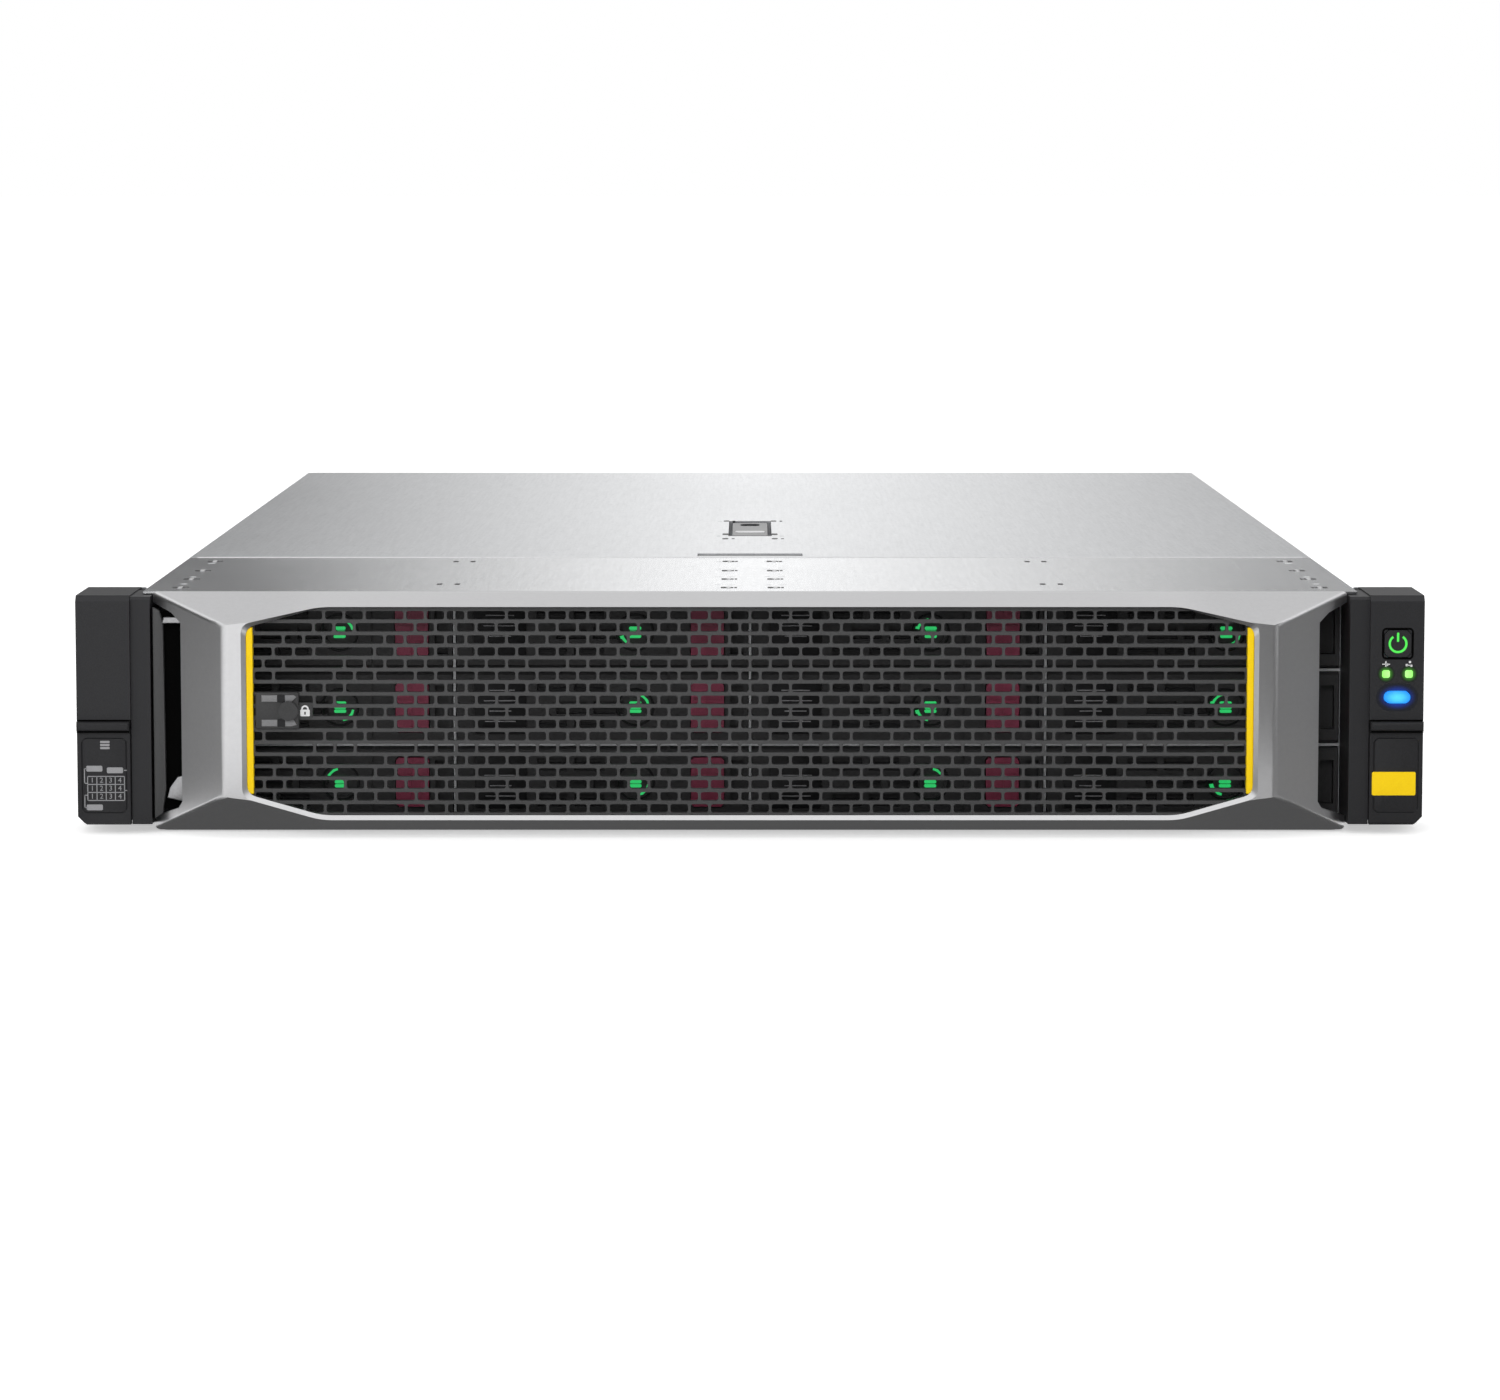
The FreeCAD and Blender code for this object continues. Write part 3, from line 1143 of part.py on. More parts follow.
def access_cover():
    # Sliding lid with side lips, rear fold, finger slot and the latch pan with its pin.
    outer = CHASSIS_HALF
    top = box(-outer, outer, COVER_SEAM + SLIDE_GAP, REAR_DEPTH, COVER_LOW, CHASSIS_HEIGHT)
    lip_outer = INNER_HALF - SLIDE_GAP - 0.2
    lip_rear = REAR_DEPTH - COVER_TRAVEL - 6
    lip = box(lip_outer - COVER_SHEET, lip_outer, FAN_FRONT + 1, lip_rear, COVER_LOW - 6, COVER_LOW)
    fold_half = outer - 2
    fold_front = REAR_DEPTH + SLIDE_GAP + 0.1
    fold_rear = fold_front + COVER_SHEET
    fold = box(-fold_half, fold_half, fold_front, fold_rear, COVER_LOW - 2.4, CHASSIS_HEIGHT)
    bridge = box(-fold_half, fold_half, REAR_DEPTH - 1, fold_rear, COVER_LOW, CHASSIS_HEIGHT)
    tray_half = FINGER_HALF + 2
    finger_floor = box(-tray_half, tray_half, FINGER_FRONT - 2, FINGER_REAR + 2, COVER_LOW - 1, COVER_LOW)
    wall = 0.8
    side = LATCH_HALF + 1.6
    pan_low = COVER_LOW - LATCH_PAN_DEPTH
    pan = box(-side - wall, side + wall, LATCH_FRONT - 5, LATCH_REAR + 11, pan_low, COVER_LOW)
    pan_inside = box(
        -side, side, LATCH_FRONT - 5 + wall, LATCH_REAR + 11 - wall, pan_low + wall, CHASSIS_HEIGHT + 1
    )
    finger = box(-FINGER_HALF, FINGER_HALF, FINGER_FRONT, FINGER_REAR, COVER_LOW - 0.5, CHASSIS_HEIGHT + 1)
    pin = rod_x(LATCH_PIN_RADIUS, LATCH_PIN_Y, LATCH_PIN_Z, -side - wall / 2, side + wall / 2)
    cover = join([top, lip, mirror_x(lip), fold, bridge, finger_floor, pan]).cut([pan_inside, finger])
    marks = []
    for x in (-13.0, 13.0):
        for y in (LATCH_FRONT - 4, LATCH_REAR + 6):
            marks.append(peg_z(1.2, x, y, COVER_LOW + 0.5, CHASSIS_HEIGHT + 1))
    return join([cover.cut(marks), pin])


def hood_latch():
    # Lever that lifts at its rear and draws the lid back, turning on the pan's pin.
    y_pin = LATCH_PIN_Y
    top = CHASSIS_HEIGHT - LATCH_SINK
    bar = box(-LATCH_HALF, LATCH_HALF, y_pin, LATCH_REAR, top - LATCH_THICK, top)
    barrel = rod_x(top - LATCH_PIN_Z, y_pin, LATCH_PIN_Z, -LATCH_HALF, LATCH_HALF)
    ribs = []
    for side in (-1, 1):
        x = side * (LATCH_HALF - 0.6)
        ribs.append(box(x - 0.6, x + 0.6, y_pin, LATCH_REAR - 12, top - 5, top - 0.5))
    bore = rod_x(LATCH_PIN_RADIUS + RUNNING_FIT, y_pin, LATCH_PIN_Z, -LATCH_HALF - 1, LATCH_HALF + 1)
    finger = prism_z(cut_corners(-4, 4, LATCH_REAR - 18, LATCH_REAR - 5, 2), top - 3, top + 1)
    return join([bar, barrel] + ribs).cut([bore, finger])


def main():
    os.makedirs("parts", exist_ok=True)
    save("chassis_tray", chassis_tray())
    save("rear_panel", rear_panel())
    save("rear_ports", rear_ports())
    save("riser_cages", riser_cages())
    save("front_top_cover", front_top_cover())
    save("access_cover", access_cover())
    save("hood_latch", hood_latch())
    save("drive_cage", drive_cage())
    save("drive_backplane", drive_backplane())
    save("rack_flanges", rack_flanges())
    save("ear_left", ear_left())
    save("ear_right", ear_right())
    save("ear_lights", ear_lights())
    save("power_button", power_button())
    save("ident_button", ident_button())
    lever = ear_lever()
    save("ear_lever_right", lever)
    save("ear_lever_left", mirror_x(lever))
    save("bezel_frame", bezel_frame())
    save("bezel_grille", bezel_grille())
    save("bezel_accents", bezel_accents())
    save("bezel_key", bezel_key())
    save("fan_cage", fan_cage())
    save("system_board", system_board())
    save("cpu_heatsinks", cpu_heatsinks())
    save("memory_modules", memory_modules())
    save("air_baffle", air_baffle())
    for index in range(FAN_COUNT):
        save("fan_rotor_" + str(index + 1), fan_rotor(index))
    for index in range(2):
        save("psu_" + str(index + 1), psu_body(index))
        save("psu_release_" + str(index + 1), psu_release(index))
    number = 1
    for row in reversed(range(BAY_ROWS)):
        for column in range(BAY_COLUMNS):
            save("drive_" + str(number), drive_carrier(column, row))
            save("drive_release_" + str(number), drive_release(column, row))
            number += 1


if __name__ == "__main__":
    main()
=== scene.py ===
import math

import bmesh
import bpy
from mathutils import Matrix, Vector


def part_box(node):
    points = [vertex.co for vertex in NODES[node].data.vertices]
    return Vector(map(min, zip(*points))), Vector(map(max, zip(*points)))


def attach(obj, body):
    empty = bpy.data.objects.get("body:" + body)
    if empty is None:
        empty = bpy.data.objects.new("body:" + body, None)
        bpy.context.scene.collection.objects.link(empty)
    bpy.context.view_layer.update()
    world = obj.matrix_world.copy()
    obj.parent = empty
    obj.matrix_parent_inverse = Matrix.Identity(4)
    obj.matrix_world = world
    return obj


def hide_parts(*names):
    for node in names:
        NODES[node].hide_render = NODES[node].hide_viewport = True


bl_info = {
    "name": "Rack storage server dresser",
    "version": (1, 0, 0),
    "blender": (4, 5, 0),
    "location": "3D View > Sidebar > Server",
    "description": "Adds the detailed pieces and finishes of a two-unit rack server to its CAD frame",
    "category": "Add Mesh",
}

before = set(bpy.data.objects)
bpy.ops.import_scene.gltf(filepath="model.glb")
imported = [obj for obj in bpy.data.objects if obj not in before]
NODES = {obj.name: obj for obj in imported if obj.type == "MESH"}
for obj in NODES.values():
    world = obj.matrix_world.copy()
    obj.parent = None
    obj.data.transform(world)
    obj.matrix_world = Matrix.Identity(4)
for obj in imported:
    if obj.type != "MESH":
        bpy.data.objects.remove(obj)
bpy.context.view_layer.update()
EAR_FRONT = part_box("ear_right")[0].y
BEZEL_LOW_CORNER, BEZEL_HIGH_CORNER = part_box("bezel_frame")
# Depth of the rear panel's outer face behind the ear fronts.
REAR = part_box("rear_panel")[1].y - EAR_FRONT
# Distance below which two places count as one.
TINY = 1e-6
# Steps of the rounding at the corners of plates, at the corners of sheet pieces, and along edges.
CORNER_STEPS = 4
SHEET_STEPS = 3
EDGE_STEPS = 2


def length(name, description, default):
    return bpy.props.FloatProperty(name=name, description=description, default=default, unit="LENGTH")


def count(name, description, default, least):
    return bpy.props.IntProperty(name=name, description=description, default=default, min=least)


def colour(name, description, default):
    return bpy.props.FloatVectorProperty(
        name=name, description=description, subtype="COLOR", default=default, min=0, max=1)


class ServerSizes(bpy.types.PropertyGroup):
    """Sizes of the dressed pieces, in metres"""

    window_half: length("Window half width", "Half the width of the bezel's opening", 0.1796)
    window_flat: length("Window flat half", "Half the straight part of the opening's top edge", 0.153)
    window_low: length("Window low", "Height of the opening's lower edge", 0.0079)
    window_high: length("Window high", "Height of the opening's upper edge", 0.0828)
    corner_fall: length("Corner fall", "Height lost over a sloped corner of the opening", 0.0076)
    side_round: length("Side rounding", "Soft turn beside each of the opening's side corners", 0.0034)
    flat_round: length("Flat rounding", "Soft turn where the opening's slopes begin", 0.004)
    window_bevel: length("Window bevel", "Width of the bevel round the opening", 0.0016)
    bar_edge: length("Bar edge", "Half width at the outer edge of the upright bars", 0.1876)
    fold_round: length("Fold rounding", "Width of the rounding on the bezel's folds", 0.0013)
    shell_wall: length("Shell wall", "Wall of the bezel moulding", 0.0022)
    grille_front: length("Grille front", "Depth of the grille, negative is in front of the ears", -0.007)
    grille_thick: length("Grille thickness", "Depth of the grille's webs", 0.0024)
    grille_drop: length("Grille drop", "How far the rows and the lip above them are lowered", 0.0006)
    brick_columns: count("Brick columns", "Holes across the grille", 49, 3)
    brick_rows: count("Brick rows", "Rows of holes in the grille", 17, 1)
    upright_web: length("Upright web", "Width between holes of one row", 0.0010)
    row_web: length("Row web", "Width between rows of holes", 0.00125)
    accent_width: length("Accent width", "Width of the coloured strips", 0.0024)


class ServerColours(bpy.types.PropertyGroup):
    """Colours of the finishes, as linear values"""

    silver: colour("Bezel silver", "Painted silver of the bezel", (0.74, 0.74, 0.75))
    steel: colour("Cover steel", "Coated steel of the covers", (0.86, 0.87, 0.885))
    ear: colour("Ear plastic", "Dark plastic of the ears", (0.026, 0.026, 0.028))
    grille: colour("Grille plastic", "Charcoal plastic of the grille", (0.062, 0.062, 0.063))
    accent: colour("Accent", "Yellow of the strips and the label", (1.0, 0.66, 0.006))
    release: colour("Release", "Dark red of the release buttons", (0.30, 0.035, 0.085))
    drive_light: colour("Drive light", "Green of the drive lights", (0.02, 0.62, 0.13))
    ident_light: colour("Identification light", "Blue of the identification button", (0.0, 0.22, 1.0))


def sizes():
    return bpy.context.scene.server_sizes


def depth(local):
    # World Y of a depth measured in metres behind the ear fronts.
    return EAR_FRONT + local


def at_depth(points, local):
    return [(x, depth(local), z) for x, z in points]


# Selecting and editing


def let_go():
    # Leaves edit mode and selects nothing, because the next operator acts on all that is selected.
    if bpy.context.mode != "OBJECT":
        bpy.ops.object.mode_set(mode="OBJECT")
    bpy.ops.object.select_all(action="DESELECT")


def take(piece):
    let_go()
    piece.select_set(True)
    bpy.context.view_layer.objects.active = piece


def edit(piece, kind, action="DESELECT"):
    # Opens a piece for editing with nothing or all of it selected; kind is VERT, EDGE or FACE.
    take(piece)
    bpy.ops.object.mode_set(mode="EDIT")
    bpy.ops.mesh.select_mode(type=kind)
    bpy.ops.mesh.select_all(action=action)


def pick(piece, kind, test):
    # Selects the verts, edges or faces of an open piece that pass a test.
    mesh = bmesh.from_edit_mesh(piece.data)
    for item in getattr(mesh, kind):
        if test(item):
            item.select_set(True)
    mesh.select_flush_mode()
    bmesh.update_edit_mesh(piece.data)


def put_on(piece, places):
    # Moves the selected vertices of an open piece to a list of places.
    mesh = bmesh.from_edit_mesh(piece.data)
    moved = [vertex for vertex in mesh.verts if vertex.select]
    moved.sort(key=lambda vertex: vertex.index)
    for vertex, place in zip(moved, places):
        vertex.co = Vector(place)
    bmesh.update_edit_mesh(piece.data)


def face_outwards():
    bpy.ops.mesh.select_all(action="SELECT")
    bpy.ops.mesh.normals_make_consistent(inside=False)
    let_go()


def merge(piece, distance):
    edit(piece, "VERT", "SELECT")
    bpy.ops.mesh.remove_doubles(threshold=distance)
    bpy.ops.mesh.dissolve_degenerate(threshold=distance)
    face_outwards()


def bevel_edges(piece, width, segments, test):
    # Bevels the edges whose two ends pass a test.
    edit(piece, "EDGE")
    pick(piece, "edges", lambda edge: test(edge.verts[0].co, edge.verts[1].co))
    bpy.ops.mesh.bevel(offset=width, segments=segments, affect="EDGES", clamp_overlap=True)
    let_go()


def bevel_front(piece, width, limit, segments=EDGE_STEPS):
    # Bevels the edges in front of a depth.
    bevel_edges(piece, width, segments, lambda one, other: max(one.y, other.y) < depth(limit))


def bevel_rear(piece, width, limit, segments=EDGE_STEPS):
    # Bevels the edges behind a depth.
    bevel_edges(piece, width, segments, lambda one, other: min(one.y, other.y) > depth(limit))


def bevel_top(piece, width, limit, segments=EDGE_STEPS):
    # Bevels the edges above a height.
    bevel_edges(piece, width, segments, lambda one, other: min(one.z, other.z) > limit)


def extrude_all(piece, shift):
    # Extrudes the whole of a flat piece and turns its faces outwards.
    edit(piece, "FACE", "SELECT")
    bpy.ops.mesh.extrude_region_move(TRANSFORM_OT_translate={"value": shift})
    face_outwards()
    return piece


def add_modifier(piece, kind, **settings):
    modifier = piece.modifiers.new(kind.title(), kind)
    for key, value in settings.items():
        setattr(modifier, key, value)
    return modifier


def apply_modifier(piece, kind, **settings):
    take(piece)
    modifier = add_modifier(piece, kind, **settings)
    bpy.ops.object.modifier_apply(modifier=modifier.name)


def repeat(piece, times, step):
    # Repeats a piece's mesh by a step.
    apply_modifier(
        piece, "ARRAY", count=times, use_relative_offset=False, use_constant_offset=True,
        constant_offset_displace=step)


def discard(*pieces):
    for piece in pieces:
        take(piece)
        bpy.ops.object.delete()


def cut_away(piece, cutter):
    # Takes the cutter's volume out of the piece and deletes the cutter.
    apply_modifier(piece, "BOOLEAN", object=cutter, operation="DIFFERENCE", solver="EXACT")
    discard(cutter)


# Starting, copying and finishing pieces


def added(name):
    # Names the object that an operator has just added, and applies its place, turn and size to its mesh.
    piece = bpy.context.object
    piece.name = name
    bpy.ops.object.transform_apply(location=True, rotation=True, scale=True)
    return piece


def new_block(name, low, high):
    # A cube primitive stretched between two corners, as the start of a piece.
    let_go()
    low = Vector(low)
    high = Vector(high)
    bpy.ops.mesh.primitive_cube_add(size=1, location=(low + high) / 2)
    bpy.ops.transform.resize(value=high - low)
    return added(name)


def new_rod(name, sides, radius, place, turn, shift):
    # A filled circle primitive, turned round X and extruded.
    let_go()
    bpy.ops.mesh.primitive_circle_add(
        vertices=sides, radius=radius, fill_type="NGON", location=place, rotation=(turn, 0, 0))
    return extrude_all(added(name), shift)


def new_loop(name, places, fill):
    # A circle primitive put on a list of places, left open for editing with all of it selected.
    let_go()
    bpy.ops.mesh.primitive_circle_add(vertices=len(places), radius=1, fill_type=fill)
    piece = added(name)
    edit(piece, "VERT", "SELECT")
    put_on(piece, places)
    return piece


def loft(name, loops):
    # An edge loop extruded from loop to loop.
    piece = new_loop(name, loops[0], "NOTHING")
    for places in loops[1:]:
        bpy.ops.mesh.extrude_edges_move()
        put_on(piece, places)
    let_go()
    return piece


def new_outline(name, points, near):
    # A flat face with (x, z) corners at one depth.
    piece = new_loop(name, at_depth(points, near), "NGON")
    let_go()
    return piece


def new_prism(name, points, near, far):
    return extrude_all(new_outline(name, points, near), (0, far - near, 0))


def plate(name, x, z, near, far, corner=0.0, edge=0.0):
    # A plate between two X, two Z and two depths, with rounded corners and a rounded front edge.
    piece = new_block(name, (x[0], depth(near), z[0]), (x[1], depth(far), z[1]))
    if corner:
        bevel_edges(piece, corner, CORNER_STEPS, lambda one, other: abs(one.y - other.y) > TINY)
    if edge:
        bevel_front(piece, edge, min(near, far) + TINY)
    return piece


def patch(name, middle, half_x, half_z, near, far, corner=0.0):
    # A plate round a middle point (x, z).
    x, z = middle
    return plate(name, (x - half_x, x + half_x), (z - half_z, z + half_z), near, far, corner)


def rear_plate(name, x, z, near, far, corner):
    # A plate between two depths measured from the rear panel's outer face.
    return plate(name, x, z, REAR + near, REAR + far, corner)


def sheet_piece(name, x, y, low, high, corner=0.0, edge=0.0):
    # A flat piece lying on the cover: X and depth ranges, low and high Z, rounded corners and top edge.
    piece = new_block(name, (x[0], depth(y[0]), low), (x[1], depth(y[1]), high))
    if corner:
        bevel_edges(piece, corner, SHEET_STEPS, lambda one, other: abs(one.z - other.z) > TINY)
    if edge:
        bevel_top(piece, edge, high - TINY)
    return piece


def arc_band(name, middle, inner, outer, start, sweep, near, far):
    # A band spun round a middle point (x, z), from a start angle through a sweep, in degrees.
    let_go()
    degrees_a_step = 12
    radius = (inner + outer) / 2
    begin = math.radians(start)
    level = depth((near + far) / 2)
    place = (middle[0] + radius * math.cos(begin), level, middle[1] + radius * math.sin(begin))
    bpy.ops.mesh.primitive_plane_add(size=1, location=place, rotation=(0, -begin, 0))
    bpy.context.object.scale = (outer - inner, abs(far - near), 1)
    piece = added(name)
    edit(piece, "FACE", "SELECT")
    bpy.ops.mesh.spin(
        steps=max(4, int(sweep / degrees_a_step)), angle=math.radians(sweep), axis=(0, 1, 0),
        center=(middle[0], level, middle[1]))
    bpy.ops.mesh.select_all(action="SELECT")
    bpy.ops.mesh.remove_doubles(threshold=TINY)
    face_outwards()
    return piece


def figure(text, size, middle, near):
    # A raised plain number facing forward, made into a mesh.
    let_go()
    bpy.ops.object.text_add(location=(0, 0, 0))
    piece = bpy.context.object
    piece.data.body = text
    piece.data.size = size
    piece.data.align_x = "CENTER"
    piece.data.align_y = "CENTER"
    piece.data.extrude = 0.00004
    piece.data.resolution_u = 2
    piece.rotation_euler = (math.pi / 2, 0, 0)
    piece.location = (middle[0], depth(near), middle[1])
    bpy.ops.object.convert(target="MESH")
    return added("figure")


def copy_piece(piece, name, shift):
    # A copy with its own mesh, moved in its mesh.
    take(piece)
    bpy.ops.object.duplicate(linked=False)
    bpy.ops.transform.translate(value=shift)
    return added(name)


def join_pieces(pieces, name):
    let_go()
    for piece in pieces:
        piece.select_set(True)
    bpy.context.view_layer.objects.active = pieces[0]
    bpy.ops.object.join()
    pieces[0].name = name
    return pieces[0]


def finish_piece(piece, body, finish, smooth=35):
    # Gives a piece its material and body; smooth is the angle in degrees up to which it shades smooth.
    take(piece)
    bpy.ops.object.transform_apply(location=True, rotation=True, scale=True)
    if smooth:
        bpy.ops.object.shade_smooth_by_angle(angle=math.radians(smooth))
    piece.data.materials.clear()
    piece.data.materials.append(FINISHES[finish])
    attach(piece, body)
    let_go()


# Materials

WHITE = (1, 1, 1, 1)


def connect(tree, socket, value):
    # Links a node's output to a socket, or sets the socket to a plain value.
    if isinstance(value, bpy.types.NodeSocket):
        tree.links.new(value, socket)
    else:
        socket.default_value = value


def feed(tree, node, **settings):
    # Sets a node's inputs and other settings; underscores stand for the spaces in an input's name.
    for key, value in settings.items():
        socket = key.replace("_", " ")
        if socket in node.inputs:
            connect(tree, node.inputs[socket], value)
        else:
            setattr(node, key, value)


def add_node(tree, kind, **settings):
    node = tree.nodes.new("ShaderNode" + kind)
    feed(tree, node, **settings)
    return node


def maths(tree, operation, first, second):
    node = add_node(tree, "Math", operation=operation, use_clamp=True)
    connect(tree, node.inputs[0], first)
    connect(tree, node.inputs[1], second)
    return node.outputs["Value"]


def map_range(tree, value, **settings):
    return add_node(tree, "MapRange", Value=value, **settings).outputs["Result"]


def object_place(tree):
    return add_node(tree, "TexCoord").outputs["Object"]


def noise(tree, place, scale, detail, roughness=0.5):
    node = add_node(tree, "TexNoise", Vector=place, Scale=scale, Detail=detail, Roughness=roughness)
    return node.outputs["Fac"]


def ramp(tree, factor, stops):
    # A colour ramp fed by a factor; each stop is a position and a colour.
    node = add_node(tree, "ValToRGB", Fac=factor)
    steps = node.color_ramp.elements
    while len(steps) < len(stops):
        steps.new(0.5)
    for step, (position, shade) in zip(steps, stops):
        step.position = position
        step.color = shade
    return node


def multiply(tree, first, second):
    node = add_node(tree, "MixRGB", blend_type="MULTIPLY", Fac=1.0, Color1=first, Color2=second)
    return node.outputs["Color"]


def tinted(shade, factor=1.0):
    return tuple(min(1.0, channel * factor) for channel in shade) + (1.0,)


def new_material(name):
    # A new material with its node tree and its shader.
    material = bpy.data.materials.new(name)
    material.use_nodes = True
    tree = material.node_tree
    return material, tree, tree.nodes["Principled BSDF"]


def surface(name, shade, metallic, roughness, spread, grain, bump, shine=0.5, stretch=(1, 1, 1)):
    # Finish with fine grain in its colour and relief, and broad soft patches in its gloss.
    wander = 0.04
    material, tree, shader = new_material(name)
    place = object_place(tree)
    stretched = add_node(tree, "Mapping", Vector=place, Scale=stretch).outputs["Vector"]
    fine = noise(tree, stretched, grain, 3.0, 0.6)
    broad = noise(tree, place, 14.0, 4.0, 0.55)
    tones = ramp(tree, fine, ((0.3, tinted(shade, 1 - spread)), (0.7, tinted(shade, 1 + spread))))
    gloss = map_range(tree, broad, To_Min=roughness - wander, To_Max=roughness + wander)
    relief = add_node(tree, "Bump", Strength=bump, Distance=0.0003, Height=fine)
    feed(
        tree, shader, Metallic=metallic, Specular_IOR_Level=shine, Base_Color=tones.outputs["Color"],
        Roughness=gloss, Normal=relief.outputs["Normal"])
    return material


def coated_steel(name, shade, roughness):
    # Bright coated sheet: long rolling marks, small dark specks and soft cloudy patches.
    wander = 0.03
    material, tree, shader = new_material(name)
    place = object_place(tree)
    rolled = add_node(tree, "Mapping", Vector=place, Scale=(900, 30, 900)).outputs["Vector"]
    marks = noise(tree, rolled, 1.0, 4.0, 0.7)
    specks = noise(tree, place, 700.0, 2.0)
    patches = noise(tree, place, 9.0, 5.0, 0.6)
    base = ramp(tree, marks, ((0.25, tinted(shade, 0.9)), (0.75, tinted(shade, 1.06))))
    spots = ramp(tree, specks, ((0.3, (0.86, 0.865, 0.875, 1)), (0.46, WHITE)))
    gloss = map_range(tree, patches, To_Min=roughness - wander, To_Max=roughness + wander)
    relief = add_node(tree, "Bump", Strength=0.05, Distance=0.0002, Height=specks)
    feed(
        tree, shader, Metallic=1.0, Base_Color=multiply(tree, base.outputs["Color"], spots.outputs["Color"]),
        Roughness=gloss, Normal=relief.outputs["Normal"])
    return material


def glowing(name, shade, core, middle, reach, strength):
    # Lit lens: a pale core fading to its own colour, measured from the lens's middle, with a fine speckle.
    material, tree, shader = new_material(name)
    place = object_place(tree)
    centred = add_node(tree, "Mapping", vector_type="TEXTURE", Vector=place, Location=middle, Scale=reach)
    falloff = add_node(
        tree, "TexGradient", gradient_type="SPHERICAL", Vector=centred.outputs["Vector"]).outputs["Fac"]
    tones = ramp(tree, falloff, ((0, tinted(shade, 0.8)), (1, tinted(core))))
    tones.color_ramp.interpolation = "EASE"
    speckle = ramp(tree, noise(tree, place, 1400.0, 2.0), ((0, (0.78, 0.78, 0.78, 1)), (1, WHITE)))
    feed(
        tree, shader, Roughness=0.35, Base_Color=tinted(shade, 0.5), Emission_Strength=strength,
        Emission_Color=multiply(tree, tones.outputs["Color"], speckle.outputs["Color"]))
    return material


def circuit_board(name):
    # Green solder mask with a grid of fine copper tracks.
    material = surface(name, (0.01, 0.07, 0.03), 0.0, 0.4, 0.3, 400.0, 0.1)
    tree = material.node_tree
    tracks = add_node(
        tree, "TexBrick", Vector=object_place(tree), Scale=60.0, Color1=(0.01, 0.06, 0.028, 1),
        Color2=(0.012, 0.085, 0.035, 1), Mortar=(0.05, 0.16, 0.07, 1), Mortar_Size=0.025)
    feed(tree, tree.nodes["Principled BSDF"], Base_Color=tracks.outputs["Color"])
    return material


def supply_finish(name, steel, plastic):
    # Steel case with a dark plastic handle: what stands behind the rear panel takes the second colour.
    metallic = 0.9
    material = surface(name, steel, metallic, 0.42, 0.07, 800.0, 0.05)
    tree = material.node_tree
    shader = tree.nodes["Principled BSDF"]
    split = add_node(tree, "SeparateXYZ", Vector=object_place(tree))
    handle = maths(tree, "GREATER_THAN", split.outputs["Y"], depth(REAR) + 0.0003)
    base = shader.inputs["Base Color"].links[0].from_socket
    mixed = add_node(tree, "MixRGB", Fac=handle, Color1=base, Color2=tinted(plastic))
    feed(
        tree, shader, Base_Color=mixed.outputs["Color"],
        Metallic=maths(tree, "SUBTRACT", metallic, handle))
    return material


# Plain finishes: material, colour or the name of one of the colours, metallic, roughness, spread of the
# colour, grain and bump, then shine and stretch where they differ from the usual.
PLAIN_FINISHES = {
    "silver": ("silver_paint", "silver", 1.0, 0.31, 0.02, 700.0, 0.01),
    "cage": ("cage_steel", (0.58, 0.59, 0.6), 0.6, 0.5, 0.06, 900.0, 0.05),
    "ear": ("ear_plastic", "ear", 0.0, 0.45, 0.14, 2400.0, 0.1, 0.22),
    "grille": ("grille_plastic", "grille", 0.0, 0.5, 0.1, 2200.0, 0.08, 0.3),
    "accent": ("accent_yellow", "accent", 0.0, 0.45, 0.04, 1800.0, 0.04, 0.15),
    "release": ("release_red", "release", 0.0, 0.4, 0.1, 1600.0, 0.06),
    "carrier": ("carrier_plastic", (0.034, 0.034, 0.035), 0.0, 0.5, 0.15, 2000.0, 0.1),
    "panel": ("panel_black", (0.014, 0.014, 0.015), 0.0, 0.4, 0.15, 2600.0, 0.06, 0.25),
    "key": ("key_metal", (0.06, 0.06, 0.065), 1.0, 0.4, 0.1, 1200.0, 0.06, 0.5, (1, 1, 20)),
    # Grey of the lock grips, and also painted shade at the bottom of the lid's finger slot.
    "grip": ("grip_grey", (0.2, 0.2, 0.205), 0.0, 0.4, 0.1, 2400.0, 0.06, 0.3),
    # Near black with almost no shine: black plastic in the sockets, and painted shade in gaps, slots and
    # holes.
    "liner": ("liner_black", (0.002, 0.002, 0.002), 0.0, 0.7, 0.2, 1800.0, 0.08, 0.02),
    "print": ("white_print", (0.75, 0.75, 0.75), 0.0, 0.55, 0.06, 3000.0, 0.03),
    "grey_print": ("grey_print", (0.30, 0.30, 0.31), 0.0, 0.5, 0.08, 3000.0, 0.03),
    "hook": ("hook_metal", (0.5, 0.5, 0.51), 1.0, 0.45, 0.1, 1500.0, 0.06),
    "latch": ("latch_grey", (0.17, 0.172, 0.175), 1.0, 0.35, 0.08, 900.0, 0.04, 0.5, (1, 6, 1)),
    "bright": ("bright_metal", (0.82, 0.82, 0.83), 1.0, 0.34, 0.06, 1500.0, 0.05),
    "port": ("port_metal", (0.50, 0.50, 0.51), 1.0, 0.34, 0.08, 1200.0, 0.06, 0.5, (1, 12, 1)),
    "gold": ("contact_gold", (0.72, 0.47, 0.16), 1.0, 0.34, 0.08, 1500.0, 0.04),
    "video": ("video_blue", (0.015, 0.045, 0.28), 0.0, 0.45, 0.1, 2000.0, 0.06),
    # Dark plastic of real parts, and also painted shade on the cover's marks and round the latch.
    "dark": ("dark_plastic", (0.02, 0.02, 0.021), 0.0, 0.5, 0.15, 1800.0, 0.1),
    "fins": ("fin_aluminium", (0.7, 0.71, 0.72), 1.0, 0.4, 0.06, 500.0, 0.05, 0.5, (6, 1, 1)),
}
FINISHES = {}


def box_middle(node):
    low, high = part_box(node)
    return (low + high) / 2


